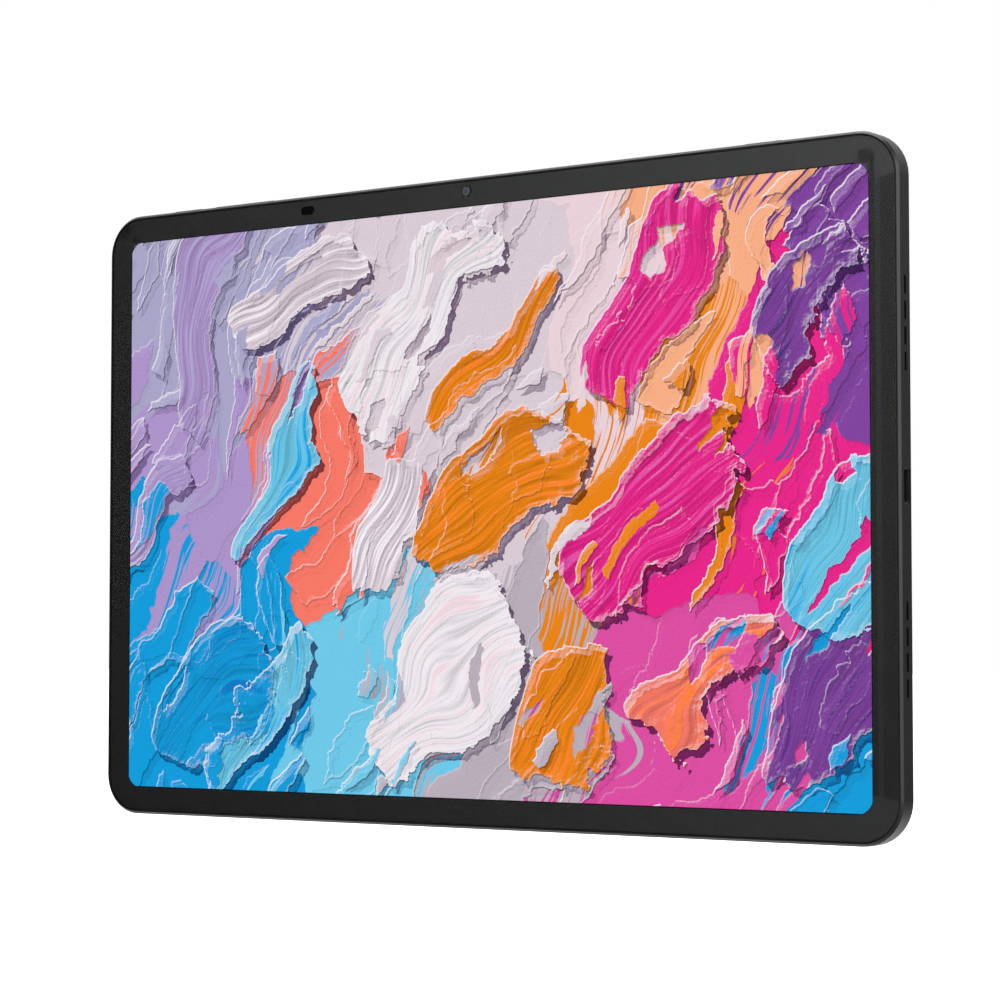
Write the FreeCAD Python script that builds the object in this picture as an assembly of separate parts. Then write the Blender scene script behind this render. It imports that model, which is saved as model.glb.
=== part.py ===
# Tablet computer of the 11.5 inch class, built as the pieces that it comes apart into.
# Millimetres. X runs along the long side, to the right as the user sees the screen.
# Y runs from the screen to the back. Z is up. The origin is the middle of the lower long
# edge, halfway through the thickness, where a stand or dock holds the tablet.
import FreeCAD
import Part

import math
import os

Vector = FreeCAD.Vector
X = Vector(1, 0, 0)
Y = Vector(0, 1, 0)
Z = Vector(0, 0, 1)

# ---- whole device
WIDTH = 260.7
HEIGHT = 175.4
THICKNESS = 6.5
CORNER_RADIUS = 11.3
FRONT_Y = -THICKNESS / 2
BACK_Y = THICKNESS / 2
MID_Z = HEIGHT / 2
RIGHT_X = WIDTH / 2

# ---- display, 2200 x 1440 dots, 3.1 : 2
DISPLAY_WIDTH = 244.4
DISPLAY_HEIGHT = 160.0
DISPLAY_RADIUS = 4.8

# ---- housing walls
WALL = 1.25
FLOOR_Y = BACK_Y - 0.9
RIM_Y = FRONT_Y + 0.15
RIM_CHAMFER = 0.6
BACK_ROUND = 1.0
REBATE_INSET = 0.75
REBATE_Y = FRONT_Y + 1.25
GLASS_INSET = 1.02
INNER_TOP = HEIGHT - WALL

# ---- fits
HAIR = 1e-4
SLIP = 0.1
BOND = 0.05

# ---- layers from the front to the back: each number is the Y of a layer's far side
GLASS_BACK = FRONT_Y + 0.5
MASK_BACK = GLASS_BACK + 0.05
PANEL_BACK = MASK_BACK + 0.55
FILMS_BACK = PANEL_BACK + 0.25
GUIDE_BACK = FILMS_BACK + 0.4
REFLECTOR_BACK = GUIDE_BACK + 0.08
TRAY_BACK = REFLECTOR_BACK + 0.15
ADHESIVE_BACK = MASK_BACK + 0.25
PLATE_BACK = TRAY_BACK + 0.3
BOARD_FRONT = -0.2
BOARD_BACK = 0.5
CELL_FRONT = -0.35
CELL_BACK = FLOOR_Y - SLIP
CELL_LOW = 15
CELL_HIGH = 157
WORKS_FRONT = -0.9
BRIDGE_LOW = 84
BRIDGE_HIGH = 96
BRIDGE_FRONT = -0.8
BRIDGE_BACK = -0.65

# ---- display stack outlines
PANEL_MARGIN = 1.4
PANEL_LEDGE = 3.7
PANEL_HALF = DISPLAY_WIDTH / 2 + PANEL_MARGIN
PANEL_TOP = MID_Z + DISPLAY_HEIGHT / 2 + PANEL_MARGIN
GUIDE_HALF = PANEL_HALF - 0.7
GUIDE_BOTTOM = 6.5
GUIDE_TOP = PANEL_TOP - 0.3
TRAY_HALF = PANEL_HALF + 1.0
TRAY_BOTTOM = 2.9
TRAY_TOP = PANEL_TOP + 1.0

# ---- openings in the short sides
SLOT_LENGTH = 4.7
SLOT_WIDTH = 1.1
SLOT_PITCH = 6.27
SLOT_FIRST = 30.42
SLOTS_PER_GROUP = 4
SLOT_GROUP_MIDDLE = SLOT_FIRST + 1.5 * SLOT_PITCH
USB_Y = 0.36
USB_SHELL_LENGTH = 8.94
USB_SHELL_WIDTH = 3.16
USB_SHELL_WALL = 0.3
USB_SHELL_DEPTH = 7.25
USB_BACK_X = RIGHT_X - 7.5
TONGUE_TIP = 129.1
TONGUE_HALF_THICK = 0.35
TONGUE_HALF_WIDE = 3.35
STRAP_HALF = 8.0
STRAP_THICK = 0.3
STRAP_LEG = 0.8
USB_GAP = 0.06
SPEAKER_INNER_X = 104
SPEAKER_CASE_X = 126.2
SPEAKER_DUCT_X = 128.7
SPEAKER_HALF = 13.2
DUCT_HALF = 12.4
MOUTH_HALF = 11.8
MESH_HALF = 12.6
MOUTH_FRONT = -0.65
MOUTH_BACK = 0.95
DUCT_BACK = 1.2
TRAY_SLOT_Y = 0.7
CARD_FACE_LENGTH = 15.4
CARD_FACE_WIDTH = 1.9
CARD_SHELF_HALF = 7.5
CARD_SHELF_X = -112.5
PIN_HOLE_RADIUS = 0.45
PIN_HOLE_Z = MID_Z - 6.3

# ---- keys in the top side
POWER_X = -101.7
POWER_LENGTH = 11.05
ROCKER_X = -80.35
ROCKER_LENGTH = 22.5
SHORTCUT_X = 91.15
SHORTCUT_LENGTH = 11.3
KEY_WIDTH = 1.9
KEY_PROUD = 0.5
KEY_GAP = 0.12
KEY_DEPTH = 1.95
KEY_TOP_ROUND = 0.28
FLANGE_OVERHANG = 0.7
NUB_RADIUS = 0.75
KEY_FLANGE_HALF = 1.25
ROCKER_NUB = 8.0
ROCKER_EXTRA_GAP = 0.03
ROCKER_FLANGE_HALF = 3.2
DOME_TOP = HEIGHT - 2.75
FLEX_TOP = HEIGHT - 3.3
FLEX = 0.12
CHANNEL_FLOOR = HEIGHT - 4.4

# ---- cameras and sensors
FRONT_CAMERA_Z = MID_Z + 84.0
FRONT_CAMERA_HOLE = 1.72
FRONT_BARREL_RADIUS = 1.45
FRONT_LENS_RADIUS = 0.73
FRONT_LENS_SUNK = 0.12
FRONT_LENS_SEAT = 0.5
SENSOR_X = -55.2
SENSOR_Z = MID_Z + 83.7
SENSOR_LENGTH = 4.9
SENSOR_WIDTH = 2.5
REAR_CAMERA_X = -111.4
REAR_CAMERA_Z = 156.4
REAR_RING_RADIUS = 7.2
REAR_RING_PROUD = 1.1
REAR_RING_ROUND = 0.35
REAR_WINDOW_RADIUS = 5.22
REAR_WINDOW_THICK = 0.38
REAR_WINDOW_SUNK = 0.12
REAR_MODULE_HALF = 4.8
REAR_BARREL_RADIUS = 4.2
REAR_EYE_RADIUS = 2.1
FLASH_X = -97.0
FLASH_RADIUS = 2.1
MIC_TOP_X = 12.0
MIC_REAR_X = -104.2
MIC_RADIUS = 0.45
MIC_HALF = 1.6
LEAD_RADIUS = 0.38
LEAD_TOP = 168.3
LEAD_END = 149.2

# ---- fasteners
FRAME_SCREWS = (
    (-120, 166), (-60, 165), (60, 165), (120, 166), (-120, 107), (120, 110.7), (120, 64.4),
    (-120, 27.5), (120, 27.5), (-100, 8), (0, 8), (60, 8), (120, 8),
)
FRAME_SHANK = 0.62
FRAME_BORE = 0.7
FRAME_HEAD = 1.25
BOARD_SHANK = 0.58
BOARD_BORE = 0.65
BOARD_HEAD = 1.3
CLEARANCE_HOLE = 0.75
BORE_BOTTOM = 1.9
BOARD_SCREWS = ((-98, 24), (-98, 145), (-76.5, 133), (-76.5, 40), (106, 72), (106, 103))


# ---- shapes that repeat
def box(x0, x1, y0, y1, z0, z1):
    """A block between two corners."""
    return Part.makeBox(x1 - x0, y1 - y0, z1 - z0, Vector(x0, y0, z0))


def rod(x, z, radius, y0, y1):
    """A round bar that runs through the thickness."""
    return Part.makeCylinder(radius, y1 - y0, Vector(x, y0, z), Y)


def post(x, y, radius, z0, z1):
    """A round bar that stands up."""
    return Part.makeCylinder(radius, z1 - z0, Vector(x, y, z0), Z)


def rounded_bar(centre, along, across, length, width, radius, push):
    """A rounded rectangle, length along one direction and width across it, pushed out to a solid."""
    edges = []
    last = None
    first = None
    for quarter, (side_u, side_v) in enumerate(((1, 1), (-1, 1), (-1, -1), (1, -1))):
        turn_u = side_u * (length / 2 - radius)
        turn_v = side_v * (width / 2 - radius)
        points = []
        for step in range(3):
            angle = math.radians(90 * quarter + 45 * step)
            u = turn_u + radius * math.cos(angle)
            v = turn_v + radius * math.sin(angle)
            points.append(centre + along * u + across * v)
        if last is not None and last.distanceToPoint(points[0]) > 1e-6:
            edges.append(Part.LineSegment(last, points[0]).toShape())
        edges.append(Part.Arc(*points).toShape())
        first = first or points[0]
        last = points[2]
    if last.distanceToPoint(first) > 1e-6:
        edges.append(Part.LineSegment(last, first).toShape())
    return Part.Face(Part.Wire(edges)).extrude(push)


def plate(x0, x1, z0, z1, radius, y0, y1):
    """A rounded plate that faces the user."""
    centre = Vector((x0 + x1) / 2, y0, (z0 + z1) / 2)
    return rounded_bar(centre, X, Z, x1 - x0, z1 - z0, radius, Y * (y1 - y0))


def inset_plate(inset, y0, y1):
    """The device's outline, drawn in by a distance."""
    half = RIGHT_X - inset
    return plate(-half, half, inset, HEIGHT - inset, CORNER_RADIUS - inset, y0, y1)


def edges_at(shape, axis, value):
    """The edges of a shape that lie wholly in one plane."""
    return [
        edge for edge in shape.Edges
        if all(abs(getattr(vertex.Point, axis) - value) < 1e-6 for vertex in edge.Vertexes)
        and abs(getattr(edge.CenterOfMass, axis) - value) < 1e-6
    ]


def cut_all(shape, tools):
    """A shape with every tool taken away."""
    return shape.cut(Part.makeCompound(tools))


def fuse_all(shape, others):
    """A shape joined with others into one solid."""
    return shape.fuse(others).removeSplitter()


def mirrored(shape):
    """The same shape on the other short side."""
    return shape.mirror(Vector(0, 0, 0), X)


# ---- openings through the housing
def side_slot(x, y, z, length, width):
    """An obround cutter that runs through a short side, its length up the side."""
    return rounded_bar(Vector(x - 2, y, z), Z, Y, length, width, width / 2 - HAIR, X * 4)


def speaker_slots(side):
    """The two groups of sound slots in one short side."""
    tools = []
    for group in (-1, 1):
        for number in range(SLOTS_PER_GROUP):
            z = MID_Z + group * (SLOT_FIRST + number * SLOT_PITCH)
            tools.append(side_slot(side * RIGHT_X, 0, z, SLOT_LENGTH, SLOT_WIDTH))
    return tools


def key_opening(x, length, gap):
    """The obround hole that a key stands in."""
    width = KEY_WIDTH + 2 * gap
    start = Vector(x, 0, HEIGHT - 3)
    return rounded_bar(start, X, Y, length + 2 * gap, width, width / 2 - HAIR, Z * 5)


def side_openings():
    """Cutters for the sound slots, the charging socket and the card tray."""
    usb = side_slot(
        RIGHT_X, USB_Y, MID_Z, USB_SHELL_LENGTH + 2 * USB_GAP, USB_SHELL_WIDTH + 2 * USB_GAP
    )
    card = side_slot(
        -RIGHT_X, TRAY_SLOT_Y, MID_Z, CARD_FACE_LENGTH + 2 * KEY_GAP, CARD_FACE_WIDTH + 2 * KEY_GAP
    )
    return speaker_slots(1) + speaker_slots(-1) + [usb, card]


def top_openings():
    """Cutters for the keys and the upper microphone."""
    return [
        key_opening(POWER_X, POWER_LENGTH, KEY_GAP),
        key_opening(ROCKER_X, ROCKER_LENGTH, KEY_GAP + ROCKER_EXTRA_GAP),
        key_opening(SHORTCUT_X, SHORTCUT_LENGTH, KEY_GAP),
        post(MIC_TOP_X, 0.2, MIC_RADIUS, HEIGHT - 3, HEIGHT + 1),
    ]


def back_openings():
    """Cutters for the rear camera, the flash and the rear microphone."""
    return [
        rod(REAR_CAMERA_X, REAR_CAMERA_Z, REAR_RING_RADIUS + 0.1, BACK_Y - 0.4, BACK_Y + 1),
        rod(REAR_CAMERA_X, REAR_CAMERA_Z, 6.0, FLOOR_Y - 1, BACK_Y + 1),
        rod(FLASH_X, REAR_CAMERA_Z, FLASH_RADIUS, FLOOR_Y - 1, BACK_Y + 1),
        rod(MIC_REAR_X, REAR_CAMERA_Z, MIC_RADIUS, FLOOR_Y - 1, BACK_Y + 1),
    ]


# ---- outer shell and front
def rear_housing():
    """The machined tray: back, side walls, bright chamfer, screw bosses and openings."""
    shell = inset_plate(0, RIM_Y, BACK_Y)
    shell = shell.makeChamfer(RIM_CHAMFER, edges_at(shell, "y", RIM_Y))
    shell = shell.makeFillet(BACK_ROUND, edges_at(shell, "y", BACK_Y))
    shell = shell.cut(inset_plate(REBATE_INSET, RIM_Y - 1, REBATE_Y))
    shell = shell.cut(inset_plate(WALL, RIM_Y - 1, FLOOR_Y))
    bosses = [rod(x, z, 2.0, PLATE_BACK, FLOOR_Y + 0.2) for x, z in FRAME_SCREWS]
    bosses += [rod(x, z, 1.8, BOARD_BACK, FLOOR_Y + 0.2) for x, z in BOARD_SCREWS]
    shell = fuse_all(shell, bosses)
    bores = [rod(x, z, FRAME_BORE, PLATE_BACK - 1, BORE_BOTTOM) for x, z in FRAME_SCREWS]
    bores += [rod(x, z, BOARD_BORE, BOARD_BACK - 1, BORE_BOTTOM) for x, z in BOARD_SCREWS]
    return cut_all(shell, bores + side_openings() + top_openings() + back_openings())


def trim_ring():
    """The dark plastic ring between the metal rim and the glass."""
    outer = inset_plate(REBATE_INSET, FRONT_Y + 0.25, REBATE_Y)
    return outer.cut(inset_plate(1.0, FRONT_Y, REBATE_Y + 1))


def cover_glass():
    """The front glass, with a small round on its front edge."""
    sheet = inset_plate(GLASS_INSET, FRONT_Y, GLASS_BACK)
    return sheet.makeFillet(0.18, edges_at(sheet, "y", FRONT_Y))


def sensor_outline(gap, y0, y1):
    """The oblong of the light sensor's window, made smaller by a gap."""
    length = SENSOR_LENGTH - 2 * gap
    width = SENSOR_WIDTH - 2 * gap
    start = Vector(SENSOR_X, y0, SENSOR_Z)
    return rounded_bar(start, X, Z, length, width, width / 2 - HAIR, Y * (y1 - y0))


def bezel_mask():
    """The black printed border behind the glass, open over the display, camera and sensor."""
    border = inset_plate(1.2, GLASS_BACK, MASK_BACK)
    half = DISPLAY_WIDTH / 2
    low = MID_Z - DISPLAY_HEIGHT / 2
    high = MID_Z + DISPLAY_HEIGHT / 2
    window = plate(-half, half, low, high, DISPLAY_RADIUS, GLASS_BACK - 1, MASK_BACK + 1)
    camera = rod(0, FRONT_CAMERA_Z, FRONT_CAMERA_HOLE, GLASS_BACK - 1, MASK_BACK + 1)
    return cut_all(border, [window, camera, sensor_outline(0, GLASS_BACK - 1, MASK_BACK + 1)])


def light_sensor_window():
    """The dark tinted patch in the mask in front of the light sensor."""
    return sensor_outline(0.02, GLASS_BACK, MASK_BACK)


def glass_adhesive():
    """The bonding tape that holds the glass to the middle frame."""
    tape = inset_plate(1.5, MASK_BACK, ADHESIVE_BACK)
    half = TRAY_HALF + 0.5
    opening = plate(-half, half, TRAY_BOTTOM - 0.4, TRAY_TOP + 0.4, 2.5, MASK_BACK - 1, 0)
    camera = box(-4, 4, MASK_BACK - 1, 0, TRAY_TOP - 1, INNER_TOP - 0.7)
    sensor = box(SENSOR_X - 4, SENSOR_X + 4, MASK_BACK - 1, 0, TRAY_TOP - 1, INNER_TOP - 0.7)
    return cut_all(tape, [opening, camera, sensor])


def key_notches():
    """Room for the keys and their switches in the middle frame's rim."""
    tools = []
    for x, length in ((POWER_X, POWER_LENGTH), (ROCKER_X, ROCKER_LENGTH), (SHORTCUT_X, 18)):
        half = length / 2 + 3
        tools.append(box(x - half, x + half, -1.5, 0, CHANNEL_FLOOR, HEIGHT))
    return tools


def mid_frame():
    """The frame between the display and the works: a rim under the glass and a thin plate."""
    block = inset_plate(WALL + 0.05, ADHESIVE_BACK, PLATE_BACK)
    half = TRAY_HALF + 0.1
    pocket = plate(-half, half, TRAY_BOTTOM - 0.1, TRAY_TOP + 0.1, 2.5, FRONT_Y, TRAY_BACK)
    tools = [
        pocket,
        rod(0, FRONT_CAMERA_Z, 1.65, FRONT_Y, 0),
        box(SENSOR_X - 3, SENSOR_X + 3, FRONT_Y, -1.6, SENSOR_Z - 1.1, SENSOR_Z + 1.5),
        box(121, RIGHT_X, TRAY_BACK, 0, MID_Z - 6.5, MID_Z + 6.5),
        box(-59, -21, TRAY_BACK - 1, 0, 3.2, 3.9),
    ]
    tools += key_notches()
    for x, z in FRAME_SCREWS:
        tools.append(rod(x, z, CLEARANCE_HOLE, FRONT_Y, 0))
        tools.append(rod(x, z, FRAME_HEAD + SLIP, FRONT_Y, TRAY_BACK + 0.2))
    return cut_all(block, tools)


# ---- display module
def display_panel():
    """The liquid crystal cell, with a ledge for its drivers along the lower edge."""
    return plate(-PANEL_HALF, PANEL_HALF, PANEL_LEDGE, PANEL_TOP, 1.2, MASK_BACK, PANEL_BACK)


def guide_sheet(y0, y1, bottom=GUIDE_BOTTOM):
    """One flat layer of the backlight."""
    return box(-GUIDE_HALF, GUIDE_HALF, y0, y1, bottom, GUIDE_TOP)


def optical_films():
    """The diffuser and prism films, as one stack."""
    return guide_sheet(PANEL_BACK, FILMS_BACK)


def light_guide():
    """The clear plate that spreads the backlight."""
    return guide_sheet(FILMS_BACK, GUIDE_BACK)


def reflector_sheet():
    """The white sheet behind the light guide."""
    return guide_sheet(GUIDE_BACK, REFLECTOR_BACK, bottom=4.0)


def backlight_led_strip():
    """The circuit strip and the row of light-emitting diodes at the light guide's lower edge."""
    strip = box(-118, 118, GUIDE_BACK - FLEX, GUIDE_BACK, 4.1, 6.4)
    lamps = [
        box(x - 1.5, x + 1.5, FILMS_BACK, GUIDE_BACK - FLEX, 5.5, 6.4)
        for x in (4.9 * (number - 23.5) for number in range(48))
    ]
    return Part.makeCompound([strip] + lamps)


def display_tray():
    """The pressed steel tray that holds the display layers together."""
    outer = plate(-TRAY_HALF, TRAY_HALF, TRAY_BOTTOM, TRAY_TOP, 2.4, MASK_BACK + 0.05, TRAY_BACK)
    half = TRAY_HALF - 0.7
    inner = plate(-half, half, 3.3, TRAY_TOP - 0.5, 1.5, FRONT_Y, REFLECTOR_BACK)
    cable_slot = box(-59, -21, FRONT_Y, 0, 3.3, 3.9)
    return cut_all(outer, [inner, cable_slot])


def display_flex():
    """The display's ribbon, folded from the ledge round to its driver board, and the link on from it."""
    near = PLATE_BACK + BOND
    ledge = box(-58, -22, PANEL_BACK, PANEL_BACK + FLEX, 3.45, 6.2)
    through = box(-58, -22, PANEL_BACK, near + FLEX, 3.45, 3.45 + FLEX)
    rear = box(-58, -22, near, near + FLEX, 3.45, 12)
    link = fuse_all(
        box(-81, -66, near, near + FLEX, 9, 13), [box(-81, -75, near, near + FLEX, 9, 26)]
    )
    return Part.makeCompound([fuse_all(ledge, [through, rear]), link])


def display_driver_board():
    """The long narrow board behind the display's lower edge, with its chips."""
    front = PLATE_BACK + BOND + FLEX
    board = box(-72, -16, front, front + 0.4, 8.5, 13.5)
    chips = [box(x, x + 6, front + 0.4, front + 1.1, 9.5, 12.5) for x in (-66, -52, -38, -25)]
    return Part.makeCompound([board] + chips)


# ---- boards
def screw_holes(tools_y0, tools_y1):
    """Clearance holes for the board screws."""
    return [rod(x, z, CLEARANCE_HOLE, tools_y0, tools_y1) for x, z in BOARD_SCREWS]


def main_board():
    """The main circuit board, shaped round the speakers and the card reader."""
    board = fuse_all(
        box(-102, -73, BOARD_FRONT, BOARD_BACK, 20, 149),
        [
            box(-116, -102, BOARD_FRONT, BOARD_BACK, 142, 149),
            box(-110.5, -102, BOARD_FRONT, BOARD_BACK, 78, 98),
        ],
    )
    return cut_all(board, screw_holes(-1, 1))


def usb_board():
    """The small board on the right that carries the charging socket."""
    board = box(100, RIGHT_X - 2.35, BOARD_FRONT, BOARD_BACK, 68, 107)
    notch = box(122.5, RIGHT_X, -1, 1, MID_Z - 4.9, MID_Z + 4.9)
    return cut_all(board, [notch] + screw_holes(-1, 1))


def board_chips():
    """The processor, memory, storage and power chips, the small parts and the board connectors."""
    back = BOARD_BACK
    front = BOARD_FRONT
    chips = [
        box(-95, -81, back, back + 1.0, 88, 102),
        box(-94, -82, back, back + 0.9, 106, 119),
        box(-94, -82.5, back, back + 0.9, 70, 83),
        box(-97, -90, back, back + 0.8, 50, 57),
        box(-86, -80, back, back + 0.8, 50, 56),
        box(110, 116, back, back + 0.8, 76, 82),
        box(-81, -75, PLATE_BACK + BOND + FLEX, front, 22, 26),
        box(-81, -75, -0.33, front, 139, 143),
        box(-80, -74, back, 1.0, 143, 147),
        box(100.2, 102.6, back, 1.0, 101, 106),
        box(-84, -79, BRIDGE_BACK, front, BRIDGE_LOW, BRIDGE_HIGH),
        box(101, 106, BRIDGE_BACK, front, BRIDGE_LOW, BRIDGE_HIGH),
    ]
    for row in range(3):
        for column in range(8):
            x = -99 + column * 2.6
            z = 30 + row * 3.2
            if row or column:
                chips.append(box(x, x + 1.6, back, back + 0.7, z, z + 0.9))
    return Part.makeCompound(chips)


def shield_can():
    """The pressed metal can over the processor and memory."""
    outer = box(-101, -75, BOARD_BACK, 2.0, 66, 125)
    inner = box(-100.85, -75.15, BOARD_BACK, 1.85, 66.15, 124.85)
    return outer.cut(inner)


def thermal_pad():
    """The pad that carries the processor's heat from the can to the housing."""
    return box(-98, -78, 2.0, FLOOR_Y, 82, 108)


def main_flex():
    """The ribbon that joins the two boards, in front of the battery."""
    return box(-85, 107, BRIDGE_FRONT, BRIDGE_BACK, BRIDGE_LOW, BRIDGE_HIGH)


# ---- battery
def battery_cell(x0, x1):
    """One flat pouch cell with soft edges."""
    cell = box(x0, x1, CELL_FRONT, CELL_BACK, CELL_LOW, CELL_HIGH)
    return cell.makeFillet(0.7, [edge for edge in cell.Edges if edge.Length > 50])


def battery_cell_left():
    """The pouch cell beside the main board."""
    return battery_cell(-68, 12)


def battery_cell_right():
    """The pouch cell beside the charging board."""
    return battery_cell(14, 94)


def battery_adhesive():
    """Pull-out tape strips under the cells."""
    strips = [box(x, x + 10, CELL_BACK, FLOOR_Y, 20, 152) for x in (-60, -6, 22, 76)]
    return Part.makeCompound(strips)


def battery_board():
    """The battery's protection board, its parts and the four cell tabs."""
    board = box(-24, 50, 0.6, 1.2, 158.2, 164.2)
    parts = [box(x, x + 5, -0.1, 0.6, 160, 163) for x in (-6, 8, 24, 38)]
    parts.append(box(-24, -18, -0.33, 0.6, 159.2, 162.8))
    tabs = [box(x, x + 4, 0.75, 0.85, 157, 158.2) for x in (-20, 2, 18, 40)]
    return Part.makeCompound([board] + parts + tabs)


def battery_flex():
    """The battery's ribbon to the main board."""
    across = box(-80, -18, -0.45, -0.33, 159.5, 162.5)
    down = box(-80, -76, -0.45, -0.33, 139, 162.5)
    return fuse_all(across, [down])


# ---- charging socket
def usb_c_socket():
    """The reversible socket's drawn shell, closed behind, with its solder tabs."""
    start = Vector(USB_BACK_X, USB_Y, MID_Z)
    length = USB_SHELL_DEPTH
    outer = rounded_bar(
        start, Z, Y, USB_SHELL_LENGTH, USB_SHELL_WIDTH, USB_SHELL_WIDTH / 2 - HAIR, X * length
    )
    hollow_length = USB_SHELL_LENGTH - 2 * USB_SHELL_WALL
    hollow_width = USB_SHELL_WIDTH - 2 * USB_SHELL_WALL
    hollow = rounded_bar(
        start + X * 0.5, Z, Y, hollow_length, hollow_width, hollow_width / 2 - HAIR, X * length
    )
    half = USB_SHELL_LENGTH / 2
    tabs = [
        box(x, x + 1.6, BOARD_BACK, BOARD_BACK + 0.2, MID_Z + low, MID_Z + low + 2)
        for x in (123.4, 126.2)
        for low in (half - 0.6, -half - 1.4)
    ]
    return fuse_all(outer, tabs).cut(hollow)


def usb_c_tongue():
    """The contact tongue in the middle of the socket."""
    tongue = box(
        USB_BACK_X + 0.5, TONGUE_TIP, USB_Y - TONGUE_HALF_THICK, USB_Y + TONGUE_HALF_THICK,
        MID_Z - TONGUE_HALF_WIDE, MID_Z + TONGUE_HALF_WIDE,
    )
    return tongue.makeChamfer(0.15, edges_at(tongue, "x", TONGUE_TIP))


def usb_bracket():
    """The steel strap that holds the socket down on its board."""
    top = USB_Y + USB_SHELL_WIDTH / 2
    strap = box(123.6, 127.6, top, top + STRAP_THICK, MID_Z - STRAP_HALF, MID_Z + STRAP_HALF)
    starts = (MID_Z - STRAP_HALF, MID_Z + STRAP_HALF - STRAP_LEG)
    legs = [box(123.6, 127.6, BOARD_BACK, top, z, z + STRAP_LEG) for z in starts]
    return fuse_all(strap, legs)


# ---- loudspeakers
def speaker(side, group):
    """One loudspeaker box with a short duct to its sound slots."""
    middle = MID_Z + group * SLOT_GROUP_MIDDLE
    case = box(
        SPEAKER_INNER_X, SPEAKER_CASE_X, WORKS_FRONT, FLOOR_Y - BOND,
        middle - SPEAKER_HALF, middle + SPEAKER_HALF,
    )
    duct = box(
        SPEAKER_CASE_X, SPEAKER_DUCT_X, WORKS_FRONT, DUCT_BACK,
        middle - DUCT_HALF, middle + DUCT_HALF,
    )
    mouth = box(123, 129, MOUTH_FRONT, MOUTH_BACK, middle - MOUTH_HALF, middle + MOUTH_HALF)
    case = fuse_all(case, [duct]).cut(mouth)
    return case if side > 0 else mirrored(case)


def speaker_mesh(side, group):
    """The dust mesh stuck inside the wall over one group of slots."""
    middle = MID_Z + group * SLOT_GROUP_MIDDLE
    mesh = box(
        SPEAKER_DUCT_X + BOND, RIGHT_X - WALL - 0.03, WORKS_FRONT, MOUTH_BACK,
        middle - MESH_HALF, middle + MESH_HALF,
    )
    return mesh if side > 0 else mirrored(mesh)


# ---- cameras and sensors
def front_camera():
    """The front camera: a small barrel behind the glass on a square body."""
    body = box(-3.6, 3.6, WORKS_FRONT, 1.3, 169.0, INNER_TOP - 0.2)
    barrel = rod(0, FRONT_CAMERA_Z, FRONT_BARREL_RADIUS, MASK_BACK + 0.04, WORKS_FRONT)
    camera = fuse_all(body, [barrel])
    seat = rod(0, FRONT_CAMERA_Z, FRONT_LENS_RADIUS + 0.02, FRONT_Y, MASK_BACK + FRONT_LENS_SEAT)
    return camera.cut(seat)


def front_camera_lens():
    """The front camera's domed first lens."""
    front = MASK_BACK + FRONT_LENS_SUNK
    lens = rod(0, FRONT_CAMERA_Z, FRONT_LENS_RADIUS, front, MASK_BACK + FRONT_LENS_SEAT)
    return lens.makeFillet(0.25, edges_at(lens, "y", front))


def light_sensor():
    """The light sensor and its ribbon, in a pocket of the middle frame."""
    sensor = box(SENSOR_X - 2, SENSOR_X + 2, -2.3, -1.72, SENSOR_Z - 0.8, SENSOR_Z + 0.8)
    ribbon = box(SENSOR_X - 2.8, SENSOR_X + 2.8, -1.72, -1.6, SENSOR_Z - 1, SENSOR_Z + 1.2)
    return Part.makeCompound([sensor, ribbon])


def rear_camera():
    """The rear camera module: its square body and its barrel."""
    half = REAR_MODULE_HALF
    body = box(
        REAR_CAMERA_X - half, REAR_CAMERA_X + half, WORKS_FRONT, 2.2,
        REAR_CAMERA_Z - half, REAR_CAMERA_Z + half,
    )
    barrel = rod(REAR_CAMERA_X, REAR_CAMERA_Z, REAR_BARREL_RADIUS, 2.2, BACK_Y + 0.45)
    eye = rod(REAR_CAMERA_X, REAR_CAMERA_Z, REAR_EYE_RADIUS, BACK_Y, BACK_Y + 1)
    return fuse_all(body, [barrel]).cut(eye)


def rear_camera_ring():
    """The raised metal ring round the rear camera."""
    face = BACK_Y + REAR_RING_PROUD
    ring = rod(REAR_CAMERA_X, REAR_CAMERA_Z, REAR_RING_RADIUS, BACK_Y - REAR_RING_ROUND, face)
    ring = ring.makeFillet(REAR_RING_ROUND, edges_at(ring, "y", face))
    depth = REAR_WINDOW_THICK + REAR_WINDOW_SUNK
    seat = rod(REAR_CAMERA_X, REAR_CAMERA_Z, REAR_WINDOW_RADIUS + 0.08, face - depth, face + 1)
    bore = rod(REAR_CAMERA_X, REAR_CAMERA_Z, 4.6, 0, face + 1)
    return cut_all(ring, [seat, bore])


def rear_camera_window():
    """The clear disc in the ring."""
    back = BACK_Y + REAR_RING_PROUD - REAR_WINDOW_SUNK
    return rod(REAR_CAMERA_X, REAR_CAMERA_Z, REAR_WINDOW_RADIUS, back - REAR_WINDOW_THICK, back)


def rear_camera_flex():
    """The rear camera's ribbon to the main board."""
    return box(-113.4, -109.4, BOARD_BACK, BOARD_BACK + FLEX, 145, REAR_CAMERA_Z - REAR_MODULE_HALF)


def flash_led():
    """The flash lamp on its small board."""
    board = box(FLASH_X - 3, FLASH_X + 3, 1.2, 1.5, 150, REAR_CAMERA_Z + 3)
    lamp = box(FLASH_X - 1.3, FLASH_X + 1.3, 1.5, 2.5, REAR_CAMERA_Z - 1.3, REAR_CAMERA_Z + 1.3)
    return Part.makeCompound([board, lamp])


def flash_lens():
    """The flush lens over the flash lamp."""
    return rod(FLASH_X, REAR_CAMERA_Z, FLASH_RADIUS - 0.05, 2.6, BACK_Y - 0.04)


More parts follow.
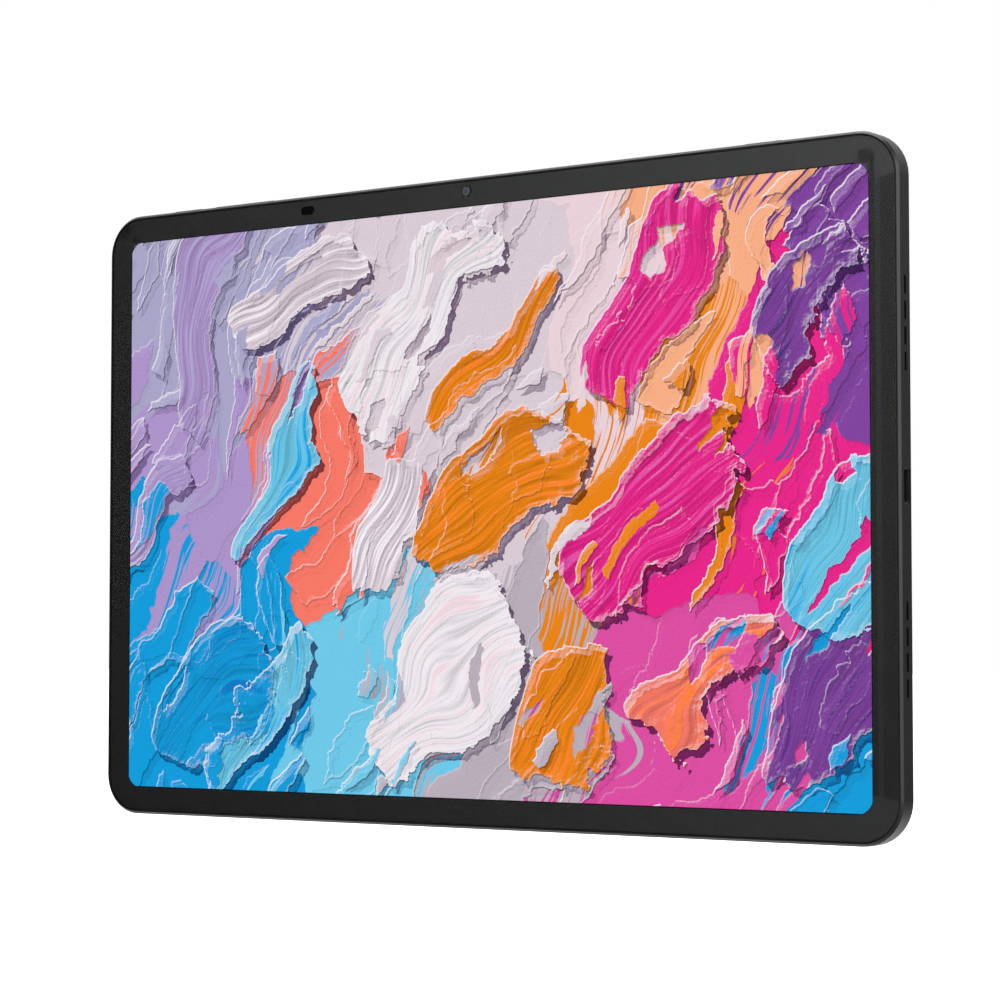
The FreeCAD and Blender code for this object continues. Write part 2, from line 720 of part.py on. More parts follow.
def microphones():
    """The microphone behind the top wall and the one behind the back."""
    upper = box(
        MIC_TOP_X - MIC_HALF, MIC_TOP_X + MIC_HALF, WORKS_FRONT, 1.2,
        INNER_TOP - 1.25, INNER_TOP - BOND,
    )
    rear = box(
        MIC_REAR_X - MIC_HALF, MIC_REAR_X + MIC_HALF, 1.25, FLOOR_Y - BOND,
        REAR_CAMERA_Z - MIC_HALF, REAR_CAMERA_Z + MIC_HALF,
    )
    return Part.makeCompound([upper, rear])


def antenna_cable(y, x_end, x_board):
    """A thin coaxial lead along the top of the battery and down to the main board."""
    bend = Vector(x_board, y, LEAD_TOP)
    along = Part.makeCylinder(LEAD_RADIUS, x_end - x_board, bend, X)
    down = post(x_board, y, LEAD_RADIUS, LEAD_END, LEAD_TOP)
    corner = Part.makeSphere(LEAD_RADIUS, bend)
    return along.fuse([down, corner])


def antennas():
    """The two wireless antennas under the glass's upper border and their leads."""
    front = PLATE_BACK + BOND
    solids = []
    for x in (-56, 16):
        sheet = box(x, x + 40, front, front + 0.1, 170.9, 173.9)
        solids.append(sheet)
    solids.append(antenna_cable(-0.4, -18, -88))
    solids.append(antenna_cable(0.5, 54, -91))
    return Part.makeCompound(solids)


# ---- keys
def key(x, length, flange_half, flange_low, flange_high, nubs):
    """A key: its cap through the wall, the flange that keeps it in and the nubs that press."""
    width = KEY_WIDTH
    base = Vector(x, 0, HEIGHT - KEY_DEPTH)
    cap = rounded_bar(base, X, Y, length, width, width / 2 - HAIR, Z * (KEY_DEPTH + KEY_PROUD))
    cap = cap.makeFillet(KEY_TOP_ROUND, edges_at(cap, "z", HEIGHT + KEY_PROUD))
    flange = box(
        x - flange_half, x + flange_half, -KEY_FLANGE_HALF, KEY_FLANGE_HALF, flange_low, flange_high
    )
    pegs = [post(x + nub, 0, NUB_RADIUS, HEIGHT - 2.4, HEIGHT - KEY_DEPTH + BOND) for nub in nubs]
    return fuse_all(cap, [flange] + pegs)


def power_key():
    """The short key at the left of the top side."""
    half = POWER_LENGTH / 2 + FLANGE_OVERHANG
    return key(POWER_X, POWER_LENGTH, half, HEIGHT - KEY_DEPTH, INNER_TOP - BOND, (0,))


def volume_rocker():
    """The long rocking key beside the power key, kept in by a short flange at its pivot."""
    nubs = (-ROCKER_NUB, ROCKER_NUB)
    return key(ROCKER_X, ROCKER_LENGTH, ROCKER_FLANGE_HALF, HEIGHT - 2.05, INNER_TOP - 0.25, nubs)


def shortcut_key():
    """The short key at the right of the top side."""
    half = SHORTCUT_LENGTH / 2 + FLANGE_OVERHANG
    return key(SHORTCUT_X, SHORTCUT_LENGTH, half, HEIGHT - KEY_DEPTH, INNER_TOP - BOND, (0,))


def key_switches():
    """A dome switch under each nub."""
    solids = []
    for x in (POWER_X, ROCKER_X - ROCKER_NUB, ROCKER_X + ROCKER_NUB, SHORTCUT_X):
        base = box(x - 1.6, x + 1.6, -1.1, 1.1, FLEX_TOP, DOME_TOP - 0.2)
        dome = post(x, 0, 0.9, DOME_TOP - 0.2, DOME_TOP)
        solids.append(fuse_all(base, [dome]))
    return Part.makeCompound(solids)


def key_flex(x0, x1, tail_x0, tail_x1, tail_low):
    """A ribbon that carries the switches, with a tail down to a board."""
    run = box(x0, x1, -1.1, 1.12, FLEX_TOP - FLEX, FLEX_TOP)
    tail = box(tail_x0, tail_x1, 1.0, 1.12, tail_low, FLEX_TOP)
    return fuse_all(run, [tail])


def key_flex_left():
    """The ribbon of the power key and the rocker."""
    return key_flex(-109, -69, -80, -75, 143)


def key_flex_right():
    """The ribbon of the shortcut key."""
    return key_flex(84.5, 102.6, 100.2, 102.6, 101)


def key_brackets():
    """The steel strips behind the switches."""
    top = FLEX_TOP - FLEX
    left = box(-110, -68.5, -1.3, 0.9, top - 0.5, top)
    right = box(83.5, 99.5, -1.3, 0.9, top - 0.5, top)
    return Part.makeCompound([left, right])


def rocker_pivot():
    """The block that the rocker tips on, on its ribbon."""
    return box(ROCKER_X - 0.8, ROCKER_X + 0.8, -1.0, 1.0, FLEX_TOP, HEIGHT - 2.15)


# ---- memory card
def card_tray():
    """The memory card's tray: its face flush with the wall, a shelf with a pocket, a pin hole."""
    face = rounded_bar(
        Vector(-RIGHT_X, TRAY_SLOT_Y, MID_Z), Z, Y, CARD_FACE_LENGTH, CARD_FACE_WIDTH,
        CARD_FACE_WIDTH / 2 - HAIR, X * (WALL - 0.1),
    )
    shelf = box(
        -RIGHT_X + 1, CARD_SHELF_X, 0.2, 1.2, MID_Z - CARD_SHELF_HALF, MID_Z + CARD_SHELF_HALF
    )
    pocket = box(-128.2, -113.1, 0, 1.0, MID_Z - 4.6, MID_Z + 6.5)
    pin_start = Vector(-RIGHT_X - 1, TRAY_SLOT_Y, PIN_HOLE_Z)
    pin = Part.makeCylinder(PIN_HOLE_RADIUS, 20, pin_start, X)
    return cut_all(fuse_all(face, [shelf]), [pocket, pin])


def card_reader():
    """The metal cage that the tray slides in."""
    outer = box(-128.7, -110.7, -0.15, 1.55, MID_Z - 8.4, MID_Z + 8.4)
    inner = box(-129, -111.1, 0.05, 1.35, MID_Z - 7.7, MID_Z + 7.7)
    return outer.cut(inner)


# ---- fasteners
def frame_screws():
    """The flat-headed screws that hold the middle frame to the housing."""
    screws = []
    for x, z in FRAME_SCREWS:
        head = rod(x, z, FRAME_HEAD, TRAY_BACK + 0.02, TRAY_BACK + 0.2)
        shank = rod(x, z, FRAME_SHANK, TRAY_BACK + 0.1, 1.6)
        screws.append(fuse_all(head, [shank]))
    return Part.makeCompound(screws)


def board_screws():
    """The pan-headed screws that hold the two boards."""
    screws = []
    for x, z in BOARD_SCREWS:
        head = rod(x, z, BOARD_HEAD, BOARD_FRONT - 0.55, BOARD_FRONT)
        shank = rod(x, z, BOARD_SHANK, BOARD_FRONT - 0.1, 1.7)
        screws.append(fuse_all(head, [shank]))
    return Part.makeCompound(screws)


PIECES = (
    rear_housing, trim_ring, cover_glass, bezel_mask, light_sensor_window, glass_adhesive,
    mid_frame, display_panel, optical_films, light_guide, reflector_sheet, backlight_led_strip,
    display_tray, display_flex, display_driver_board, main_board, usb_board, board_chips,
    shield_can, thermal_pad, main_flex, battery_cell_left, battery_cell_right, battery_adhesive,
    battery_board, battery_flex, usb_c_socket, usb_c_tongue, usb_bracket, front_camera,
    front_camera_lens, light_sensor, rear_camera, rear_camera_ring, rear_camera_window,
    rear_camera_flex, flash_led, flash_lens, microphones, antennas, power_key, volume_rocker,
    shortcut_key, key_switches, key_flex_left, key_flex_right, key_brackets, rocker_pivot,
    card_tray, card_reader, frame_screws, board_screws,
)
CORNERS = (("upper_right", 1, 1), ("lower_right", 1, -1), ("upper_left", -1, 1), ("lower_left", -1, -1))


def write(name, shape):
    """Writes one piece, after checking that it is sound."""
    if not shape.isValid():
        raise ValueError(name + " is not a valid shape")
    shape.exportStep("parts/" + name + ".step")
    print(name, len(shape.Solids), round(shape.Volume, 2))


def main():
    """Writes every piece of the tablet."""
    os.makedirs("parts", exist_ok=True)
    for piece in PIECES:
        write(piece.__name__, piece())
    for corner, side, group in CORNERS:
        write("speaker_" + corner, speaker(side, group))
        write("speaker_mesh_" + corner, speaker_mesh(side, group))


main()
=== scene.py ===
"""Looks of a tablet computer: its finishes, lit display, eyes, sockets and a plain studio.

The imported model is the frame. Every piece here is in metres, in that frame: X runs along the
long side, Y from the screen to the back, Z up, with the origin at the middle of the lower edge.
"""
import logging
import math
import random
from dataclasses import dataclass
from enum import Enum

import bmesh
import bpy
from mathutils import Matrix, Vector


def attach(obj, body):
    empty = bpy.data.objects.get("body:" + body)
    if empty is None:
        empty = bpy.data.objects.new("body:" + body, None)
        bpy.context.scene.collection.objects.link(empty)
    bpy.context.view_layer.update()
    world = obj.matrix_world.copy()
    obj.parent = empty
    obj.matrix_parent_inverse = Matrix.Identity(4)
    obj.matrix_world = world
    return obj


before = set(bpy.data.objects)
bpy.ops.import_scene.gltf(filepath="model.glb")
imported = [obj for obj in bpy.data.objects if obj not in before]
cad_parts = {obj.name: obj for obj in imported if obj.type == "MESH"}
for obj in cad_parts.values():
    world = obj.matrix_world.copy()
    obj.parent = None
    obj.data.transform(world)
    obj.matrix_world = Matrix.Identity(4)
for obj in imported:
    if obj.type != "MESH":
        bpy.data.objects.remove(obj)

LOG = logging.getLogger("tablet")
MM = 0.001
PER_METRE = 1000.0
BODY = "tablet"
# A pull too weak to move a place, which only makes one reading wait for another.
FAINT_PULL = 1e-8


# ---------------------------------------------------------------- shader graphs
class Graph:
    """A short way to write a node tree."""

    def __init__(self, tree: bpy.types.NodeTree) -> None:
        """Keeps the tree that nodes are added to."""
        self.tree = tree

    def add(self, kind: str, **settings: object) -> bpy.types.Node:
        """Adds a node and sets its properties.

        Args:
            kind: the node's type name without its ShaderNode prefix.
            settings: properties of the node.

        Returns:
            The new node.
        """
        node = self.tree.nodes.new("ShaderNode" + kind)
        for name, value in settings.items():
            setattr(node, name, value)
        return node

    def plug(self, socket: bpy.types.NodeSocket, value: object) -> None:
        """Links an output to an input, or sets the input's value."""
        if isinstance(value, bpy.types.NodeSocket):
            self.tree.links.new(value, socket)
        elif value is not None:
            socket.default_value = value

    def math(self, operation: str, *values: object, clamp: bool = False) -> bpy.types.NodeSocket:
        """Adds a Math node and returns its output."""
        node = self.add("Math", operation=operation, use_clamp=clamp)
        for socket, value in zip(node.inputs, values):
            self.plug(socket, value)
        return node.outputs[0]

    def vector(self, operation: str, *values: object) -> bpy.types.Node:
        """Adds a Vector Math node and returns it."""
        node = self.add("VectorMath", operation=operation)
        for socket, value in zip(node.inputs, values):
            self.plug(socket, value)
        return node

    def scaled(self, vector: object, by: object) -> bpy.types.NodeSocket:
        """A vector times a number."""
        node = self.add("VectorMath", operation="SCALE")
        self.plug(node.inputs[0], vector)
        self.plug(node.inputs["Scale"], by)
        return node.outputs[0]

    def mix(self, factor: object, one: object, two: object, blend: str = "MIX") -> bpy.types.NodeSocket:
        """Mixes two colours and returns the result."""
        node = self.add("Mix", data_type="RGBA", blend_type=blend)
        self.plug(node.inputs["Factor"], factor)
        self.plug(node.inputs[6], one)
        self.plug(node.inputs[7], two)
        return node.outputs[2]

    def span(
        self, value: object, low: float, high: float, to_low: float = 0.0, to_high: float = 1.0,
        smooth: bool = False,
    ) -> bpy.types.NodeSocket:
        """Maps a range of values onto another, held at its ends."""
        node = self.add("MapRange", clamp=True)
        node.interpolation_type = "SMOOTHSTEP" if smooth else "LINEAR"
        for socket, number in zip(node.inputs, (value, low, high, to_low, to_high)):
            self.plug(socket, number)
        return node.outputs[0]

    def after(self, place: object, value: object) -> bpy.types.NodeSocket:
        """The same place, but worked out only once that value is, which keeps the shader small."""
        node = self.add("VectorMath", operation="MULTIPLY_ADD")
        self.plug(node.inputs[0], value)
        node.inputs[1].default_value = (FAINT_PULL,) * 3
        self.plug(node.inputs[2], place)
        return node.outputs[0]

    def tone(self, value: object) -> bpy.types.NodeSocket:
        """A grey of that brightness."""
        node = self.add("CombineXYZ")
        for socket in node.inputs:
            self.plug(socket, value)
        return node.outputs[0]

    def noise(
        self, vector: object, scale: float, detail: float = 2.0, roughness: float = 0.5,
        distortion: float = 0.0, flat: bool = False,
    ) -> bpy.types.Node:
        """Adds a Noise Texture and returns it."""
        node = self.add("TexNoise", noise_dimensions="2D" if flat else "3D")
        self.plug(node.inputs["Vector"], vector)
        self.plug(node.inputs["Scale"], scale)
        self.plug(node.inputs["Detail"], detail)
        self.plug(node.inputs["Roughness"], roughness)
        self.plug(node.inputs["Distortion"], distortion)
        return node

    def cells(
        self, vector: object, scale: float, feature: str = "F1", randomness: float = 1.0
    ) -> bpy.types.Node:
        """Adds a flat Voronoi Texture and returns it."""
        node = self.add("TexVoronoi", voronoi_dimensions="2D", feature=feature)
        self.plug(node.inputs["Vector"], vector)
        self.plug(node.inputs["Scale"], scale)
        self.plug(node.inputs["Randomness"], randomness)
        return node

    def bump(self, height: object, strength: float, distance: float) -> bpy.types.NodeSocket:
        """A normal tilted by a height."""
        node = self.add("Bump")
        self.plug(node.inputs["Height"], height)
        self.plug(node.inputs["Strength"], strength)
        self.plug(node.inputs["Distance"], distance)
        return node.outputs[0]


def new_material(name: str) -> tuple[bpy.types.Material, Graph, bpy.types.Node, bpy.types.NodeSocket]:
    """Makes a material with one Principled shader.

    Args:
        name: the material's name.

    Returns:
        The material, its graph, its Principled node and its Object coordinates.
    """
    material = bpy.data.materials.new(name)
    material.use_nodes = True
    graph = Graph(material.node_tree)
    shader = material.node_tree.nodes["Principled BSDF"]
    place = graph.add("TexCoord").outputs["Object"]
    return material, graph, shader, place


Colour = tuple[float, float, float]


def rgba(colour: Colour, alpha: float = 1.0) -> tuple[float, float, float, float]:
    """A colour with its alpha."""
    return (*colour, alpha)


# ---------------------------------------------------------------- finishes
@dataclass(frozen=True)
class BlastedMetal:
    """Finely blasted, anodised metal: a soft grain and slight cloudiness."""

    name: str
    colour: Colour
    roughness: float = 0.42
    grain: float = 0.16

    def build(self) -> bpy.types.Material:
        """Makes the material."""
        material, graph, shader, place = new_material(self.name)
        cloud = graph.noise(place, 38.0, 3.0).outputs["Fac"]
        darker = tuple(channel * 0.86 for channel in self.colour)
        lighter = tuple(channel * 1.12 for channel in self.colour)
        graph.plug(shader.inputs["Base Color"], graph.mix(cloud, rgba(darker), rgba(lighter)))
        shader.inputs["Metallic"].default_value = 0.9
        speck = graph.noise(place, 5200.0, 2.0, 0.7).outputs["Fac"]
        spread = graph.math("MULTIPLY_ADD", speck, 0.14, self.roughness - 0.07)
        handled = graph.math("MULTIPLY_ADD", cloud, 0.08, -0.04)
        graph.plug(shader.inputs["Roughness"], graph.math("ADD", spread, handled))
        graph.plug(shader.inputs["Normal"], graph.bump(speck, self.grain, 0.00004))
        return material


@dataclass(frozen=True)
class MouldedPlastic:
    """Moulded plastic with a fine spark-eroded texture."""

    name: str
    colour: Colour
    roughness: float = 0.5
    texture: float = 0.2
    gloss: float = 0.5

    def build(self) -> bpy.types.Material:
        """Makes the material."""
        material, graph, shader, place = new_material(self.name)
        cloud = graph.noise(place, 60.0, 2.0).outputs["Fac"]
        deep = tuple(channel * 0.8 for channel in self.colour)
        graph.plug(shader.inputs["Base Color"], graph.mix(cloud, rgba(deep), rgba(self.colour)))
        shader.inputs["Specular IOR Level"].default_value = self.gloss
        pits = graph.noise(place, 3200.0, 2.0, 0.6).outputs["Fac"]
        graph.plug(
            shader.inputs["Roughness"],
            graph.span(pits, 0.3, 0.7, self.roughness - 0.08, self.roughness + 0.08),
        )
        graph.plug(shader.inputs["Normal"], graph.bump(pits, self.texture, 0.00005))
        return material


@dataclass(frozen=True)
class ClearSheet:
    """Clear glass: it lets the view through and mirrors a little, blurred by its etched face."""

    name: str
    tint: Colour
    roughness: float
    mirror: float = 1.0
    index: float = 1.5

    def build(self) -> bpy.types.Material:
        """Makes the material."""
        material, graph, shader, place = new_material(self.name)
        tree = material.node_tree
        tree.nodes.remove(shader)
        through = graph.add("BsdfTransparent")
        through.inputs["Color"].default_value = rgba(self.tint)
        mirror = graph.add("BsdfAnisotropic")
        grain = graph.noise(place, 90.0, 2.0).outputs["Fac"]
        spread = (self.roughness * 0.85, self.roughness * 1.15)
        graph.plug(mirror.inputs["Roughness"], graph.span(grain, 0.3, 0.7, *spread))
        share = graph.add("Fresnel")
        share.inputs["IOR"].default_value = self.index
        inner = graph.add("NewGeometry").outputs["Backfacing"]
        outer = graph.math("MULTIPLY_ADD", inner, -self.mirror, self.mirror)
        both = graph.add("MixShader")
        graph.plug(both.inputs[0], graph.math("MULTIPLY", share.outputs[0], outer))
        graph.plug(both.inputs[1], through.outputs[0])
        graph.plug(both.inputs[2], mirror.outputs[0])
        tree.links.new(both.outputs[0], tree.nodes["Material Output"].inputs["Surface"])
        return material


@dataclass(frozen=True)
class PressedSteel:
    """Pressed or drawn steel with faint draw lines along one direction."""

    name: str
    colour: Colour
    roughness: float = 0.3
    along: tuple[float, float, float] = (1.0, 30.0, 30.0)

    def build(self) -> bpy.types.Material:
        """Makes the material."""
        material, graph, shader, place = new_material(self.name)
        mapping = graph.add("Mapping")
        graph.plug(mapping.inputs["Vector"], place)
        mapping.inputs["Scale"].default_value = self.along
        lines = graph.noise(mapping.outputs[0], 260.0, 3.0).outputs["Fac"]
        dull = tuple(channel * 0.82 for channel in self.colour)
        graph.plug(shader.inputs["Base Color"], graph.mix(lines, rgba(dull), rgba(self.colour)))
        shader.inputs["Metallic"].default_value = 1.0
        graph.plug(
            shader.inputs["Roughness"],
            graph.span(lines, 0.2, 0.8, self.roughness - 0.06, self.roughness + 0.1),
        )
        graph.plug(shader.inputs["Normal"], graph.bump(lines, 0.08, 0.00003))
        return material


@dataclass(frozen=True)
class TrackedSheet:
    """A circuit board or ribbon: solder resist or film over branching copper tracks."""

    name: str
    ground: Colour
    track: Colour
    pitch: float = 700.0

    def build(self) -> bpy.types.Material:
        """Makes the material."""
        material, graph, shader, place = new_material(self.name)
        cells = graph.add("TexBrick")
        graph.plug(cells.inputs["Vector"], place)
        cells.inputs["Scale"].default_value = self.pitch
        cells.inputs["Mortar Size"].default_value = 0.03
        lines = graph.span(cells.outputs["Fac"], 0.3, 0.7)
        graph.plug(shader.inputs["Base Color"], graph.mix(lines, rgba(self.ground), rgba(self.track)))
        shader.inputs["Roughness"].default_value = 0.38
        graph.plug(shader.inputs["Normal"], graph.bump(lines, 0.3, 0.00003))
        return material


@dataclass(frozen=True)
class WovenMesh:
    """Fine black dust mesh."""

    name: str
    pitch: float = 5200.0

    def build(self) -> bpy.types.Material:
        """Makes the material."""
        material, graph, shader, place = new_material(self.name)
        split = graph.add("SeparateXYZ")
        graph.plug(split.inputs[0], place)
        threads = []
        for axis in ("Y", "Z"):
            turn = graph.math("MULTIPLY", split.outputs[axis], self.pitch)
            threads.append(graph.math("SINE", turn))
        weave = graph.span(graph.math("MULTIPLY", *threads), -1.0, 1.0)
        graph.plug(
            shader.inputs["Base Color"],
            graph.mix(weave, rgba((0.004, 0.004, 0.004)), rgba((0.03, 0.03, 0.032))),
        )
        shader.inputs["Metallic"].default_value = 0.4
        shader.inputs["Roughness"].default_value = 0.55
        graph.plug(shader.inputs["Normal"], graph.bump(weave, 0.6, 0.00008))
        return material


def linear(red: int, green: int, blue: int) -> Colour:
    """A display colour of 0 to 255 per channel as linear light."""
    return tuple(((c / 255 + 0.055) / 1.055) ** 2.4 if c > 10 else c / 3294.6 for c in (red, green, blue))


class Paint(Enum):
    """The picture's paints, in display colours."""

    WHITE = (246, 240, 246)
    BLUSH = (238, 212, 220)
    PLASTER = (222, 206, 216)
    GREY = (188, 176, 188)
    MIST = (172, 168, 204)
    LILAC = (176, 150, 206)
    PEACH = (252, 176, 134)
    SALMON = (252, 122, 104)
    ORANGE = (252, 128, 44)
    AMBER = (238, 134, 14)
    YELLOW = (255, 194, 18)
    PINK = (236, 34, 140)
    ROSE = (224, 78, 164)
    VIOLET = (130, 66, 160)
    PURPLE = (78, 44, 118)
    SKY = (14, 158, 222)
    BLUE = (4, 122, 194)
    AQUA = (112, 204, 236)

    @property
    def light(self) -> tuple[float, float, float, float]:
        """The paint as linear light."""
        return rgba(linear(*self.value))


@dataclass(frozen=True)
class PaintBand:
    """The paints met from left to right at one height of the picture, in millimetres."""

    height: float
    paints: tuple[tuple[float, Paint], ...]


@dataclass(frozen=True)
class KnifeStroke:
    """One big stroke of a painting knife; sizes are millimetres and degrees."""

    x: float
    y: float
    length: float
    width: float
    angle: float
    paint: Paint
    second: Paint
    thick: float = 1.0


@dataclass(frozen=True)
class DabLayer:
    """A layer of small knife dabs: their size, lean and the share of the ground they cover."""

    length: float
    width: float
    angle: float
    share: float
    thick: float
    wander: float
    ridged: bool = False


# Half the width, in millimetres, that the bands of paint are laid over.
REACH = 125.0
BANDS = (
    PaintBand(52.0, (
        (-REACH, Paint.MIST), (-55, Paint.PLASTER), (15, Paint.BLUSH), (55, Paint.PEACH),
        (95, Paint.VIOLET),
    )),
    PaintBand(0.0, (
        (-REACH, Paint.LILAC), (-65, Paint.SALMON), (-25, Paint.PLASTER), (25, Paint.AMBER),
        (75, Paint.PINK),
    )),
    PaintBand(-52.0, (
        (-REACH, Paint.SKY), (-60, Paint.AQUA), (-15, Paint.GREY), (35, Paint.ROSE),
        (95, Paint.SKY),
    )),
)

STROKE_SEED = 11
STROKE_ROWS = (50.0, 0.0, -50.0)
STROKE_COLUMNS = (-104.0, -62.0, -21.0, 21.0, 62.0, 104.0)
STROKE_SHIFT_X = 13.0
STROKE_SHIFT_Y = 12.0
STROKE_LENGTHS = (38.0, 84.0)
STROKE_WIDTHS = (9.0, 31.0)
STROKE_ANGLES = (34.0, 76.0)
STROKE_THICKNESSES = (0.8, 1.7)
COLUMN_PAINTS = (
    ((Paint.SKY, Paint.BLUE), (Paint.LILAC, Paint.MIST)),
    ((Paint.AQUA, Paint.SKY), (Paint.PLASTER, Paint.WHITE)),
    ((Paint.WHITE, Paint.BLUSH), (Paint.PLASTER, Paint.WHITE)),
    ((Paint.AMBER, Paint.ORANGE), (Paint.YELLOW, Paint.AMBER)),
    ((Paint.PINK, Paint.ROSE), (Paint.SALMON, Paint.ORANGE)),
    ((Paint.VIOLET, Paint.PURPLE), (Paint.AQUA, Paint.SKY)),
)


def scattered_strokes() -> tuple[KnifeStroke, ...]:
    """Strews the big strokes over a loose grid, from a fixed seed.

    Returns:
        The strokes, from the one laid first to the one laid last.
    """
    dice = random.Random(STROKE_SEED)
    strokes = []
    for y in STROKE_ROWS:
        for x, paints in zip(STROKE_COLUMNS, COLUMN_PAINTS):
            paint, second = dice.choice(paints)
            strokes.append(KnifeStroke(
                x=x + dice.uniform(-STROKE_SHIFT_X, STROKE_SHIFT_X),
                y=y + dice.uniform(-STROKE_SHIFT_Y, STROKE_SHIFT_Y),
                length=dice.uniform(*STROKE_LENGTHS),
                width=dice.uniform(*STROKE_WIDTHS),
                angle=dice.uniform(*STROKE_ANGLES),
                paint=paint,
                second=second,
                thick=dice.uniform(*STROKE_THICKNESSES),
            ))
    dice.shuffle(strokes)
    return tuple(strokes)


BIG_STROKES = scattered_strokes()

GROUND_DABS = DabLayer(34.0, 15.0, 58.0, 1.0, 0.5, 10.0)
MIDDLE_DABS = DabLayer(22.0, 7.5, 62.0, 0.42, 0.8, 8.0, ridged=True)
SMALL_DABS = DabLayer(12.0, 3.6, 54.0, 0.16, 1.0, 14.0)

# The bristle lines lean one of two ways, in degrees; steep strokes take the steeper.
LOW_LEAN = 35.0
HIGH_LEAN = 62.0
LEAN_BORDER = 48
BRISTLE_SCALE = (38.0, 1.3, 1.0)
# How far the paint's edges wander, in millimetres.
SLOW_BEND = 34.0
FINE_BEND = 4.5
# The bank pushed up along a stroke's rim: its width in millimetres and its height.
RIM_WIDTH = 9.0
RIM_HEIGHT = 0.42
# Flattens a stroke's third direction, so that only the place on the panel counts.
FLATTENED = 1e4
# Where the light is felt, in millimetres: over one ridge, and over a whole stroke.
LIGHT_STEPS = (0.5, 2.6)
SHADE_TINT = (0.22, 0.12, 0.3)
HALF = (0.5, 0.5, 0.5)


def new_group(name: str, inputs: dict[str, str], outputs: dict[str, str]) -> tuple[
    bpy.types.NodeTree, Graph, bpy.types.Node, bpy.types.Node
]:
    """Makes a node group.

    Args:
        name: the group's name.
        inputs: the kind of socket for each input's name.
        outputs: the same for the outputs.

    Returns:
        The tree, its graph, its input node and its output node.
    """
    tree = bpy.data.node_groups.new(name, "ShaderNodeTree")
    for side, sockets in (("INPUT", inputs), ("OUTPUT", outputs)):
        for label, kind in sockets.items():
            tree.interface.new_socket(name=label, in_out=side, socket_type="NodeSocket" + kind)
    return tree, Graph(tree), tree.nodes.new("NodeGroupInput"), tree.nodes.new("NodeGroupOutput")


